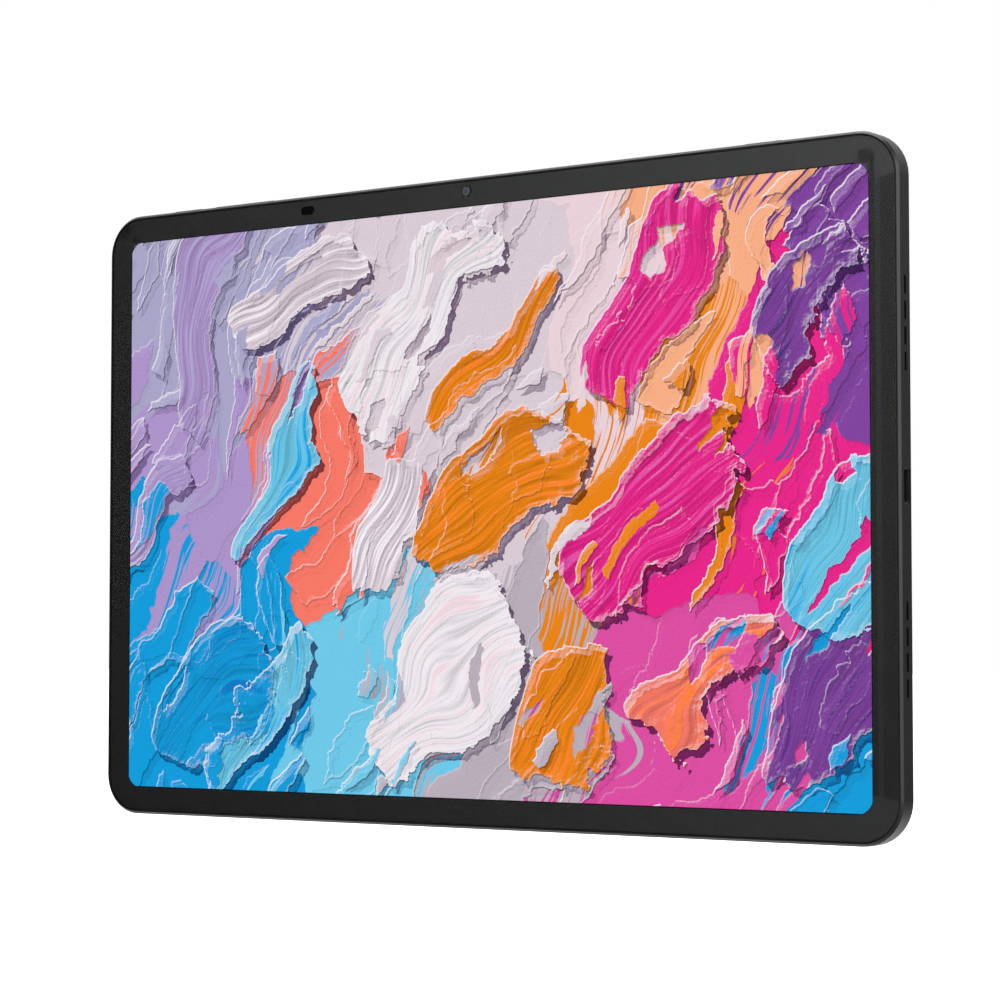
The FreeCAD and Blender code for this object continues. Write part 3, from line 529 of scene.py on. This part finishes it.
@dataclass(frozen=True)
class KnifePicture:
    """A lit picture of thick abstract knife painting, worked out from the place on the panel.

    Attributes:
        name: the material's name.
        centre: the middle of the picture, in metres.
        half: half the lit width and height, in millimetres.
        strength: how brightly it shines.
        light: the way, across the panel, towards the light that the paint seems to have.
    """

    name: str
    centre: Vector
    half: tuple[float, float]
    strength: float = 1.0
    light: tuple[float, float, float] = (-0.62, 0.78, 0.0)

    def palette(self) -> bpy.types.NodeTree:
        """Makes the group that tells which paint lies at a place."""
        tree, graph, start, end = new_group("palette", {"Place": "Vector"}, {"Paint": "Color"})
        split = graph.add("SeparateXYZ")
        graph.plug(split.inputs[0], start.outputs[0])
        along = graph.span(split.outputs["X"], -REACH, REACH)
        paint = None
        above = None
        for band in BANDS:
            ramp = graph.add("ValToRGB")
            ramp.color_ramp.interpolation = "CONSTANT"
            stops = ramp.color_ramp.elements
            stops[0].color = band.paints[0][1].light
            stops.remove(stops[1])
            for x, colour in band.paints[1:]:
                stops.new((x + REACH) / (2 * REACH)).color = colour.light
            graph.plug(ramp.inputs[0], along)
            if paint is None:
                paint = ramp.outputs[0]
            else:
                border = (above + band.height) / 2
                lower = graph.math("LESS_THAN", split.outputs["Y"], border)
                paint = graph.mix(lower, paint, ramp.outputs[0])
            above = band.height
        graph.plug(end.inputs[0], paint)
        return tree

    def paint_at(self, graph: Graph, place: object) -> bpy.types.NodeSocket:
        """The palette's paint at a place."""
        node = graph.add("Group", node_tree=bpy.data.node_groups["palette"])
        graph.plug(node.inputs[0], place)
        return node.outputs[0]

    def turned(self, graph: Graph, place: object, layer: object, back: bool = False) -> bpy.types.NodeSocket:
        """A place in a dab layer's own leaning, stretched coordinates, or back from them."""
        node = graph.add("Mapping", vector_type="POINT" if back else "TEXTURE")
        graph.plug(node.inputs["Vector"], place)
        node.inputs["Location"].default_value = (layer.share * 31.0, layer.length, 0.0)
        node.inputs["Rotation"].default_value = (0.0, 0.0, math.radians(layer.angle))
        node.inputs["Scale"].default_value = (layer.length, layer.width, 1.0)
        return node.outputs[0]

    def dabs(
        self, graph: Graph, place: object, paint: object, height: object, layer: DabLayer, streak: object
    ) -> tuple[bpy.types.NodeSocket, bpy.types.NodeSocket]:
        """Lays a layer of dabs over the paint so far.

        Args:
            graph: the graph to add to.
            place: the place on the panel.
            paint: the paint so far, or None for the first layer.
            height: its height so far.
            layer: the dabs.
            streak: the bristle lines.

        Returns:
            The new paint and its height.
        """
        if paint is not None:
            place = graph.after(place, height)
        spot = self.turned(graph, place, layer)
        cell = graph.cells(spot, 1.0)
        chance = graph.add("SeparateColor")
        graph.plug(chance.inputs[0], cell.outputs["Color"])
        there = graph.math("LESS_THAN", chance.outputs[0], layer.share)
        middle = self.turned(graph, cell.outputs["Position"], layer, back=True)
        spread = graph.vector("SUBTRACT", cell.outputs["Color"], HALF).outputs[0]
        nearby = graph.scaled(spread, layer.wander * 2)
        first = self.paint_at(graph, graph.vector("ADD", middle, nearby).outputs[0])
        farther = graph.scaled(spread, -layer.wander * 4)
        second = self.paint_at(graph, graph.vector("ADD", middle, farther).outputs[0])
        share = graph.math("MULTIPLY", chance.outputs[1], 0.42)
        level = graph.math("ADD", share, 0.34)
        streaked = graph.math("GREATER_THAN", graph.math("SUBTRACT", level, streak), 0.2)
        dab = graph.mix(streaked, first, second)
        rise = chance.outputs[2]
        if layer.ridged:
            edge = graph.cells(spot, 1.0, "DISTANCE_TO_EDGE").outputs["Distance"]
            near = graph.span(edge, 0.0, 0.14, 1.0, 0.0)
            rise = graph.math("MULTIPLY_ADD", graph.math("MULTIPLY", near, near), 0.5, rise)
        rise = graph.math("MULTIPLY_ADD", rise, layer.thick, graph.math("MULTIPLY", height, 0.5))
        over = graph.add("Mix", data_type="FLOAT")
        graph.plug(over.inputs[0], there)
        graph.plug(over.inputs[2], height)
        graph.plug(over.inputs[3], rise)
        return graph.mix(there, paint, dab) if paint is not None else dab, over.outputs[0]

    def stroke(
        self, graph: Graph, place: object, paint: object, height: object, one: KnifeStroke,
        ragged: object, streak: object,
    ) -> tuple[bpy.types.NodeSocket, bpy.types.NodeSocket]:
        """Lays one big stroke over the paint so far.

        Args:
            graph: the graph to add to.
            place: the place on the panel.
            paint: the paint so far.
            height: its height so far.
            one: the stroke.
            ragged: how ragged its edge is here.
            streak: the bristle lines.

        Returns:
            The new paint and its height.
        """
        node = graph.add("Mapping", vector_type="TEXTURE")
        graph.plug(node.inputs["Vector"], graph.after(place, height))
        node.inputs["Location"].default_value = (one.x, one.y, 0.0)
        node.inputs["Rotation"].default_value = (0.0, 0.0, math.radians(one.angle))
        node.inputs["Scale"].default_value = (one.length / 2, one.width / 2, FLATTENED)
        split = graph.add("SeparateXYZ")
        graph.plug(split.inputs[0], node.outputs[0])
        squared = graph.vector("MULTIPLY", node.outputs[0], node.outputs[0]).outputs[0]
        out = graph.vector("LENGTH", squared).outputs["Value"]
        depth = graph.math("SUBTRACT", graph.math("SUBTRACT", 1.0, out), ragged)
        mask = graph.math("GREATER_THAN", depth, 0.0)
        near = graph.span(depth, 0.0, RIM_WIDTH / one.width, 1.0, 0.0)
        ridge = graph.math("MULTIPLY", near, near)
        lifted = graph.math("MULTIPLY_ADD", split.outputs["X"], 0.22, 0.72)
        rise = graph.math("ADD", lifted, graph.math("MULTIPLY", ridge, RIM_HEIGHT))
        rise = graph.math("MULTIPLY_ADD", streak, 0.22, rise)
        rise = graph.math("MULTIPLY_ADD", rise, one.thick, graph.math("MULTIPLY", height, 0.35))
        over = graph.add("Mix", data_type="FLOAT")
        graph.plug(over.inputs[0], mask)
        graph.plug(over.inputs[2], height)
        graph.plug(over.inputs[3], rise)
        veins = graph.span(streak, 0.54, 0.68)
        body = graph.mix(veins, one.paint.light, one.second.light)
        tone = graph.span(streak, 0.3, 0.6, 0.72, 1.05)
        body = graph.mix(1.0, body, graph.tone(tone), "MULTIPLY")
        return graph.mix(mask, paint, body), over.outputs[0]

    def impasto(self) -> bpy.types.NodeTree:
        """Makes the group that gives the paint and its height at a place."""
        tree, graph, start, end = new_group(
            "impasto", {"Place": "Vector"}, {"Paint": "Color", "Height": "Float"}
        )
        place = start.outputs[0]
        slow = graph.noise(place, 0.021, 1.0, flat=True).outputs["Color"]
        slow = graph.scaled(graph.vector("SUBTRACT", slow, HALF).outputs[0], SLOW_BEND)
        quick = graph.noise(place, 0.17, 3.0, 0.55, flat=True)
        fine = graph.vector("SUBTRACT", quick.outputs["Color"], HALF).outputs[0]
        fine = graph.scaled(fine, FINE_BEND)
        bent = graph.vector("ADD", place, graph.vector("ADD", slow, fine).outputs[0]).outputs[0]
        ragged = graph.math("MULTIPLY_ADD", quick.outputs["Fac"], 0.6, -0.3)
        streaks = {}
        for lean in (LOW_LEAN, HIGH_LEAN):
            node = graph.add("Mapping", vector_type="TEXTURE")
            graph.plug(node.inputs["Vector"], graph.vector("ADD", place, slow).outputs[0])
            node.inputs["Rotation"].default_value = (0.0, 0.0, math.radians(lean))
            node.inputs["Scale"].default_value = BRISTLE_SCALE
            streaks[lean] = graph.noise(node.outputs[0], 1.0, 2.0, 0.6, flat=True).outputs["Fac"]
        paint, height = self.dabs(graph, bent, None, 0.2, GROUND_DABS, streaks[HIGH_LEAN])
        paint, height = self.dabs(graph, bent, paint, height, MIDDLE_DABS, streaks[HIGH_LEAN])
        for one in BIG_STROKES:
            streak = streaks[HIGH_LEAN if one.angle > LEAN_BORDER else LOW_LEAN]
            paint, height = self.stroke(graph, bent, paint, height, one, ragged, streak)
        paint, height = self.dabs(graph, bent, paint, height, SMALL_DABS, streaks[HIGH_LEAN])
        grain = graph.noise(place, 1.3, 1.0, 0.6, flat=True).outputs["Fac"]
        height = graph.math("MULTIPLY_ADD", grain, 0.14, height)
        graph.plug(end.inputs[0], paint)
        graph.plug(end.inputs[1], height)
        return tree

    def build(self) -> bpy.types.Material:
        """Makes the material."""
        self.palette()
        tree = self.impasto()
        material, graph, shader, place = new_material(self.name)
        shader.inputs["Base Color"].default_value = (0.002, 0.002, 0.002, 1.0)
        shader.inputs["Emission Strength"].default_value = self.strength
        shader.inputs["Specular IOR Level"].default_value = 0.0
        material.cycles.emission_sampling = "NONE"
        shader.inputs["Roughness"].default_value = 1.0
        split = graph.add("SeparateXYZ")
        graph.plug(split.inputs[0], graph.vector("SUBTRACT", place, tuple(self.centre)).outputs[0])
        flat = graph.add("CombineXYZ")
        across = graph.math("MULTIPLY", split.outputs["X"], PER_METRE)
        up = graph.math("MULTIPLY", split.outputs["Z"], PER_METRE)
        graph.plug(flat.inputs["X"], across)
        graph.plug(flat.inputs["Y"], up)
        spot = flat.outputs[0]
        here = graph.add("Group", node_tree=tree)
        graph.plug(here.inputs[0], spot)
        heights = []
        last = here.outputs["Height"]
        for step in LIGHT_STEPS:
            shifted = graph.vector("ADD", spot, tuple(step * part for part in self.light)).outputs[0]
            shifted = graph.after(shifted, last)
            there = graph.add("Group", node_tree=tree)
            graph.plug(there.inputs[0], shifted)
            last = there.outputs["Height"]
            heights.append(last)
        level = here.outputs["Height"]
        slope = graph.math("SUBTRACT", level, heights[0])
        broad = graph.math("SUBTRACT", level, heights[1])
        slope = graph.math("MULTIPLY_ADD", broad, 0.25, slope)
        sunny = graph.span(slope, 0.06, 0.62)
        dim = graph.span(slope, -0.5, 0.0, 0.4, 1.0)
        shade = graph.span(graph.math("SUBTRACT", heights[1], level), 0.4, 1.1)
        paint = here.outputs["Paint"]
        dimmed = graph.mix(1.0, paint, graph.tone(dim), "MULTIPLY")
        depth = graph.math("MULTIPLY", shade, 0.8)
        shaded = graph.mix(depth, dimmed, graph.mix(1.0, dimmed, rgba(SHADE_TINT), "MULTIPLY"))
        glint = graph.math("MULTIPLY", sunny, 0.75)
        lit = graph.mix(glint, shaded, Paint.WHITE.light)
        beside = graph.math("SUBTRACT", self.half[0], graph.math("ABSOLUTE", across))
        above = graph.math("SUBTRACT", self.half[1], graph.math("ABSOLUTE", up))
        inside = graph.span(graph.math("MINIMUM", beside, above), 0.2, 0.4)
        graph.plug(shader.inputs["Emission Color"], graph.mix(inside, rgba((0.0, 0.0, 0.0)), lit))
        return material


# ---------------------------------------------------------------- shapes
Ring = list[tuple[float, float]]


class Facing(Enum):
    """Which way a turned piece looks."""

    FRONT = -1.0
    BACK = 1.0


def lathe(name: str, centre: Vector, profile: Ring, facing: Facing, steps: int = 48) -> bmesh.types.BMesh:
    """Spins a profile about an axis along Y.

    Args:
        name: used in the log.
        centre: a point on the axis, in metres.
        profile: radius and distance along the axis, in millimetres; the first and last may lie on it.
        facing: which way the distance is counted.
        steps: faces round the axis.

    Returns:
        The closed mesh.
    """
    shape = bmesh.new()
    sign = facing.value
    verts = [
        shape.verts.new(centre + Vector((radius * MM, sign * along * MM, 0.0)))
        for radius, along in profile
    ]
    edges = [shape.edges.new(pair) for pair in zip(verts, verts[1:])]
    bmesh.ops.spin(
        shape, geom=verts + edges, cent=centre, axis=(0.0, 1.0, 0.0), angle=math.tau,
        steps=steps, use_merge=True, use_normal_flip=False,
    )
    bmesh.ops.remove_doubles(shape, verts=shape.verts, dist=1e-7)
    bmesh.ops.recalc_face_normals(shape, faces=shape.faces)
    LOG.info("turned %s with %d faces", name, len(shape.faces))
    return shape


def add_piece(name: str, shape: bmesh.types.BMesh, smooth: float = 0.0) -> bpy.types.Object:
    """Turns a finished bmesh into an object at the origin.

    Args:
        name: the piece's name.
        shape: the mesh, in the frame's place; it is freed here.
        smooth: faces that meet at less than this angle, in degrees, are shaded as one.

    Returns:
        The new object.
    """
    mesh = bpy.data.meshes.new(name)
    shape.to_mesh(mesh)
    shape.free()
    if smooth:
        mesh.shade_smooth()
        mesh.set_sharp_from_angle(angle=math.radians(smooth))
    piece = bpy.data.objects.new(name, mesh)
    bpy.context.scene.collection.objects.link(piece)
    return piece


def own_piece(
    name: str, shape: bmesh.types.BMesh, material: bpy.types.Material,
    body: str = BODY, smooth: float = 40.0,
) -> bpy.types.Object:
    """Adds a piece of the tablet that rides on one of its bodies.

    Args:
        name: the piece's name.
        shape: its mesh.
        material: its finish.
        body: the body it moves with.
        smooth: the angle of its smooth shading, in degrees.

    Returns:
        The new object.
    """
    piece = add_piece(name, shape, smooth)
    piece.data.materials.append(material)
    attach(piece, body)
    LOG.info("made %s on %s", name, body)
    return piece


def dress(node: str, *materials: bpy.types.Material) -> bpy.types.Mesh:
    """Gives a node of the frame its materials and returns its mesh."""
    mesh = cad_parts[node].data
    mesh.materials.clear()
    for material in materials:
        mesh.materials.append(material)
    return mesh


# ---------------------------------------------------------------- sub-assemblies
@dataclass
class Housing:
    """The machined housing with its chamfer, the keys, the card drawer and the trim; the chamfer's lighter
    metal is partly its bare machined finish and partly a painted highlight.
    """

    rim: float = -2.4
    slant: float = 0.35

    def build(self) -> None:
        """Dresses the housing and what sits in its sides."""
        body = BlastedMetal("blasted_body", (0.046, 0.046, 0.05)).build()
        # The chamfer gets a lighter copy of the body metal: partly the bare machined finish, partly a
        # painted highlight.
        chamfer_and_highlight = BlastedMetal("chamfer_metal_and_painted_highlight", (0.1, 0.1, 0.105), 0.28, 0.04).build()
        mesh = dress("rear_housing", body, chamfer_and_highlight)
        for face in mesh.polygons:
            across = math.hypot(face.normal.x, face.normal.z)
            slanted = face.normal.y < -self.slant and across > self.slant
            face.material_index = int(slanted and face.center.y < self.rim * MM)
        key = BlastedMetal("blasted_keys", (0.058, 0.058, 0.063), 0.36).build()
        for node in ("power_key", "volume_rocker", "shortcut_key", "card_tray"):
            dress(node, key)
        trim = MouldedPlastic("trim_plastic", (0.006, 0.006, 0.007), 0.6, 0.2, 0.22).build()
        dress("trim_ring", trim)
        LOG.info("dressed the housing, keys, drawer and trim")


@dataclass
class Screen:
    """The cover glass, the printed border, the lit picture and what looks through the border."""

    window: tuple[float, float] = (122.2, 80.0)
    middle: tuple[float, float, float] = (0.0, 0.0, 0.0877)
    eye: tuple[float, float, float] = (0.0, -0.0027, 0.1717)

    def build(self) -> None:
        """Dresses the layers, the camera and the sensor, and adds the camera's seat."""
        dress("cover_glass", ClearSheet("etched_glass", (0.985, 0.99, 0.99), 0.17, 0.25).build())
        ink = MouldedPlastic("mask_ink", (0.002, 0.002, 0.0022), 0.34, 0.02, 0.85).build()
        dress("bezel_mask", ink)
        dress("display_panel", KnifePicture("lit_picture", Vector(self.middle), self.window).build())
        self.front_camera()
        self.light_sensor()
        LOG.info("dressed the screen")

    def front_camera(self) -> None:
        """Dresses the front camera and adds the pale seat round its pupil."""
        barrel = MouldedPlastic("eye_barrel", (0.05, 0.05, 0.054), 0.4).build()
        dress("front_camera", MouldedPlastic("camera_body", (0.004, 0.004, 0.0045)).build())
        coated = CoatedLens("eye_lens", (0.004, 0.006, 0.016), (0.12, 0.4, 1.0)).build()
        dress("front_camera_lens", coated)
        seat = [(1.25, -0.03), (1.25, 0.02), (0.55, 0.02), (0.5, -0.03), (1.25, -0.03)]
        own_piece(
            "front_camera_seat", lathe("seat", Vector(self.eye), seat, Facing.FRONT), barrel,
        )

    def light_sensor(self) -> None:
        """Gives the sensor's window its dark tint."""
        tint = MouldedPlastic("sensor_tint", (0.0012, 0.0011, 0.0014), 0.25, 0.02, 0.04).build()
        dress("light_sensor_window", tint)


@dataclass(frozen=True)
class CoatedLens:
    """A coated camera lens: nearly black, with a painted coloured reflection that grows towards its middle.
    """

    name: str
    colour: Colour
    painted_reflection: Colour

    def build(self) -> bpy.types.Material:
        """Makes the material."""
        material, graph, shader, place = new_material(self.name)
        cloud = graph.noise(place, 900.0, 1.0).outputs["Fac"]
        # The base colour is painted towards the coating's reflection colour where the lens faces the view: a
        # painted reflection.
        facing = graph.add("LayerWeight")
        facing.inputs["Blend"].default_value = 0.35
        share = graph.math("SUBTRACT", 1.0, facing.outputs["Facing"])
        share = graph.math("MULTIPLY", share, graph.span(cloud, 0.3, 0.7, 0.1, 0.2))
        graph.plug(
            shader.inputs["Base Color"], graph.mix(share, rgba(self.colour), rgba(self.painted_reflection))
        )
        shader.inputs["Roughness"].default_value = 0.06
        shader.inputs["Coat Weight"].default_value = 1.0
        shader.inputs["Coat Roughness"].default_value = 0.03
        return material


@dataclass
class RearCamera:
    """The rear camera's ring, window, stepped barrel, lens and lamp."""

    middle: tuple[float, float, float] = (-0.1114, 0.00325, 0.1564)
    lamp: tuple[float, float, float] = (-0.0970, 0.00325, 0.1564)

    def build(self) -> None:
        """Dresses the camera and adds what shows through its window."""
        ring = BlastedMetal("ring_metal", (0.1, 0.1, 0.108), 0.28, 0.06).build()
        dress("rear_camera_ring", ring)
        dress("rear_camera_window", ClearSheet("camera_window", (0.9, 0.92, 0.94), 0.04).build())
        black = MouldedPlastic("barrel_plastic", (0.01, 0.01, 0.011), 0.45).build()
        dress("rear_camera", black)
        lens = CoatedLens("rear_lens_glass", (0.003, 0.004, 0.01), (0.12, 0.1, 0.5)).build()
        # The bore that the lens sits in is 2.1 mm in radius and ends 0.45 mm above the back.
        dome = [
            (2.0, 0.06), (2.0, 0.12), (1.6, 0.24), (1.1, 0.32), (0.5, 0.36), (0.0, 0.37),
            (0.0, 0.06), (2.0, 0.06),
        ]
        own_piece(
            "rear_camera_lens", lathe("lens", Vector(self.middle), dome, Facing.BACK), lens,
        )
        steps = [(4.1, 0.46), (4.1, 0.56), (3.4, 0.56), (3.3, 0.50), (2.7, 0.50), (2.6, 0.46), (4.1, 0.46)]
        own_piece(
            "rear_camera_inner_ring", lathe("ring", Vector(self.middle), steps, Facing.BACK),
            MouldedPlastic("inner_ring_plastic", (0.03, 0.03, 0.033), 0.32).build(),
        )
        dress("flash_lens", FlashLens("flash_lens", Vector(self.lamp)).build())
        dress("flash_led", LedChip("flash_lamp").build())
        LOG.info("dressed the rear camera")


@dataclass(frozen=True)
class FlashLens:
    """A clear ribbed lens over a yellow lamp."""

    name: str
    centre: Vector

    def build(self) -> bpy.types.Material:
        """Makes the material."""
        material, graph, shader, place = new_material(self.name)
        away = graph.vector("DISTANCE", place, tuple(self.centre)).outputs["Value"]
        ribs = graph.math("SINE", graph.math("MULTIPLY", away, 16000.0))
        glow = graph.span(away, 0.0007, 0.0014, 1.0, 0.0, smooth=True)
        graph.plug(
            shader.inputs["Base Color"],
            graph.mix(glow, rgba((0.3, 0.29, 0.27)), rgba((0.55, 0.42, 0.12))),
        )
        shader.inputs["Roughness"].default_value = 0.16
        shader.inputs["Coat Weight"].default_value = 1.0
        graph.plug(shader.inputs["Normal"], graph.bump(ribs, 0.35, 0.00006))
        return material


@dataclass(frozen=True)
class LedChip:
    """The yellow phosphor of a small lamp."""

    name: str

    def build(self) -> bpy.types.Material:
        """Makes the material."""
        material, graph, shader, place = new_material(self.name)
        grain = graph.noise(place, 2500.0, 2.0).outputs["Fac"]
        graph.plug(
            shader.inputs["Base Color"],
            graph.mix(grain, rgba((0.7, 0.5, 0.06)), rgba((0.85, 0.66, 0.12))),
        )
        shader.inputs["Roughness"].default_value = 0.6
        return material


@dataclass
class Sockets:
    """The charging socket with its contacts, and the loudspeakers' meshes."""

    contact_rows: int = 10
    contact_pitch: float = 0.5
    tongue: tuple[float, float, float] = (129.02, 0.36, 87.7)

    def build(self) -> None:
        """Dresses the socket and adds its contacts."""
        steel = PressedSteel("drawn_steel", (0.42, 0.42, 0.43), 0.28).build()
        dress("usb_c_socket", steel)
        dress("usb_bracket", steel)
        dress("usb_c_tongue", MouldedPlastic("tongue_plastic", (0.012, 0.012, 0.013), 0.45).build())
        gold = PressedSteel("contact_gold", (0.83, 0.56, 0.22), 0.25).build()
        x, y, z = self.tongue
        shape = bmesh.new()
        first = -(self.contact_rows - 1) / 2
        for side in (-1.0, 1.0):
            for index in range(self.contact_rows):
                up = z + (first + index) * self.contact_pitch
                middle = Vector((x - 1.9, y + side * 0.36, up)) * MM
                size = Matrix.Diagonal((3.4 * MM, 0.03 * MM, 0.26 * MM, 1.0))
                bmesh.ops.create_cube(shape, size=1.0, matrix=Matrix.Translation(middle) @ size)
        own_piece("usb_c_contacts", shape, gold, smooth=0.0)
        mesh = WovenMesh("dust_mesh").build()
        for side in ("left", "right"):
            for level in ("upper", "lower"):
                dress("speaker_mesh_%s_%s" % (level, side), mesh)
        LOG.info("dressed the sockets and speaker meshes")


@dataclass
class Innards:
    """Finishes of what lies inside the housing."""

    def build(self) -> None:
        """Dresses every inner piece."""
        alloy = BlastedMetal("frame_alloy", (0.36, 0.37, 0.38), 0.48).build()
        film = MouldedPlastic("diffuser_film", (0.82, 0.82, 0.84), 0.35, 0.05).build()
        acrylic = MouldedPlastic("guide_acrylic", (0.7, 0.74, 0.76), 0.12, 0.02).build()
        reflector = MouldedPlastic("reflector_film", (0.86, 0.86, 0.87), 0.3, 0.05).build()
        pressed = PressedSteel("pressed_steel", (0.48, 0.48, 0.49), 0.34).build()
        screw = PressedSteel("screw_steel", (0.3, 0.3, 0.31), 0.3, (30.0, 30.0, 30.0)).build()
        ribbon = TrackedSheet("ribbon", (0.03, 0.018, 0.012), (0.12, 0.06, 0.03)).build()
        board = TrackedSheet("circuit_board", (0.006, 0.03, 0.05), (0.02, 0.09, 0.11)).build()
        chip = MouldedPlastic("chip_package", (0.02, 0.02, 0.021), 0.42).build()
        rubber = MouldedPlastic("thermal_rubber", (0.3, 0.33, 0.36), 0.8).build()
        pouch = PressedSteel("pouch_foil", (0.28, 0.28, 0.29), 0.4, (30.0, 1.0, 1.0)).build()
        tape = MouldedPlastic("bonding_tape", (0.01, 0.01, 0.01), 0.85).build()
        moulding = MouldedPlastic("inner_moulding", (0.014, 0.014, 0.015), 0.5).build()
        finishes = {
            alloy: ("mid_frame",),
            film: ("optical_films",),
            acrylic: ("light_guide",),
            reflector: ("reflector_sheet",),
            pressed: ("display_tray", "shield_can", "card_reader", "key_brackets"),
            screw: ("frame_screws", "board_screws"),
            ribbon: (
                "display_flex", "main_flex", "battery_flex", "rear_camera_flex", "key_flex_left",
                "key_flex_right", "backlight_led_strip", "antennas",
            ),
            board: ("main_board", "usb_board", "battery_board", "display_driver_board"),
            chip: ("board_chips", "key_switches", "microphones", "light_sensor"),
            rubber: ("thermal_pad",),
            pouch: ("battery_cell_left", "battery_cell_right"),
            tape: ("glass_adhesive", "battery_adhesive"),
            moulding: (
                "speaker_upper_left", "speaker_upper_right", "speaker_lower_left",
                "speaker_lower_right", "rocker_pivot",
            ),
        }
        for material, nodes in finishes.items():
            for node in nodes:
                dress(node, material)
        LOG.info("dressed the inner pieces")


# ---------------------------------------------------------------- the studio
# How bright the room behind the tablet is at each height of a direction, as shares of BACK_POWER.
BACKDROP = (
    (-1.0, 0.95), (-0.46, 0.95), (-0.2, 0.26), (-0.08, 0.04), (0.08, 0.14), (0.3, 0.42), (0.7, 0.7),
)


# The front of the room glows more with height and fades to the left, in shares of a direction.
GLOW_RISE = 3.6
GLOW_START = -0.61
GLOW_MOST = 1.2
LEFT_FADE = 11.0
LEFT_EDGE = 0.45
CEILING = (0.42, 0.72)
CEILING_DIM = 0.16
# Where the front of the room gives way to its back, and how bright the back is.
BACK_BLEND = 0.3
BACK_POWER = 1.5


@dataclass
class Studio:
    """The camera, the floor, the surroundings and the lights."""

    eye: tuple[float, float, float] = (0.44289, -0.61275, 0.04874)
    turn: tuple[float, float, float] = (92.983, 0.0, 35.2845)
    lens: float = 100.98
    floor_drop: float = 0.09

    def build(self) -> None:
        """Makes everything that isn't part of the tablet."""
        self.camera()
        self.floor()
        self.surroundings()
        self.lights()
        bpy.context.scene.view_settings.view_transform = "Standard"

    def camera(self) -> None:
        """Makes the camera, to the right of the tablet and a little under its middle."""
        data = bpy.data.cameras.new("view_camera")
        data.lens = self.lens
        data.sensor_width = 36.0
        data.clip_start = 0.01
        data.clip_end = 50.0
        camera = bpy.data.objects.new("view_camera", data)
        camera.location = self.eye
        camera.rotation_euler = [math.radians(angle) for angle in self.turn]
        bpy.context.scene.collection.objects.link(camera)
        bpy.context.scene.camera = camera

    def floor(self) -> None:
        """Makes the pale floor."""
        shape = bmesh.new()
        bmesh.ops.create_grid(shape, x_segments=1, y_segments=1, size=12.0)
        bmesh.ops.translate(shape, vec=(0, 0, -self.floor_drop), verts=shape.verts)
        floor = add_piece("studio_floor", shape)
        material, graph, shader, place = new_material("studio_floor")
        shader.inputs["Base Color"].default_value = (0.9, 0.9, 0.9, 1.0)
        shader.inputs["Roughness"].default_value = 1.0
        shader.inputs["Emission Color"].default_value = (1.0, 1.0, 1.0, 1.0)
        shader.inputs["Emission Strength"].default_value = 1.0
        floor.data.materials.append(material)
        floor.visible_glossy = False

    def surroundings(self) -> None:
        """A white room whose light comes mainly from high in front and from the right."""
        world = bpy.data.worlds.new("studio")
        world.use_nodes = True
        bpy.context.scene.world = world
        graph = Graph(world.node_tree)
        sky = world.node_tree.nodes["Background"]
        way = graph.add("TexCoord").outputs["Generated"]
        part = graph.add("SeparateXYZ")
        graph.plug(part.inputs[0], way)
        rise = graph.math("MULTIPLY_ADD", part.outputs["Z"], GLOW_RISE, GLOW_START)
        left = graph.math("MINIMUM", graph.math("ADD", part.outputs["X"], LEFT_EDGE), 0.0)
        power = graph.math("MULTIPLY_ADD", left, LEFT_FADE, rise)
        glow = graph.math("MULTIPLY", graph.math("EXPONENT", power), GLOW_MOST)
        glow = graph.math("MINIMUM", glow, GLOW_MOST)
        glow = graph.math("MULTIPLY", glow, graph.span(part.outputs["Z"], *CEILING, 1.0, CEILING_DIM))
        behind = graph.add("ValToRGB")
        stops = behind.color_ramp.elements
        stops[0].position, stops[1].position = BACKDROP[0][0] / 2 + 0.5, BACKDROP[-1][0] / 2 + 0.5
        stops[0].color, stops[1].color = (rgba((level,) * 3) for _, level in (BACKDROP[0], BACKDROP[-1]))
        for height, level in BACKDROP[1:-1]:
            stops.new(height / 2 + 0.5).color = rgba((level,) * 3)
        graph.plug(behind.inputs[0], graph.math("MULTIPLY_ADD", part.outputs["Z"], 0.5, 0.5))
        rear = graph.add("Mix", data_type="FLOAT")
        graph.plug(rear.inputs[0], graph.span(part.outputs["Y"], -BACK_BLEND, BACK_BLEND, smooth=True))
        graph.plug(rear.inputs[2], glow)
        graph.plug(rear.inputs[3], graph.math("MULTIPLY", behind.outputs[0], BACK_POWER))
        glow = rear.outputs[0]
        seen = graph.add("LightPath").outputs["Is Camera Ray"]
        graph.plug(sky.inputs["Color"], (1.0, 1.0, 1.0, 1.0))
        level = graph.add("Mix", data_type="FLOAT")
        graph.plug(level.inputs[0], seen)
        graph.plug(level.inputs[2], glow)
        graph.plug(level.inputs[3], 1.0)
        graph.plug(sky.inputs["Strength"], level.outputs[0])

    def lights(self) -> None:
        """Adds soft lights behind and above, which shape the back and the edges."""
        for name, place, size, power in (
            ("top_softbox", (-0.2, -0.3, 1.1), 0.9, 6.0),
            ("back_softbox", (-0.7, 0.9, 0.8), 0.8, 7.0),
        ):
            data = bpy.data.lights.new(name, "AREA")
            data.shape = "SQUARE"
            data.size = size
            data.energy = power
            lamp = bpy.data.objects.new(name, data)
            lamp.location = place
            aim = Vector((0, 0, 0.09)) - Vector(place)
            lamp.rotation_euler = aim.to_track_quat("-Z", "Y").to_euler()
            bpy.context.scene.collection.objects.link(lamp)


def main() -> None:
    """Builds the tablet's looks and its studio."""
    Housing().build()
    Screen().build()
    RearCamera().build()
    Sockets().build()
    Innards().build()
    Studio().build()


if __name__ == "__main__":
    logging.basicConfig(level=logging.INFO)
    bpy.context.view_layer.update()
    main()
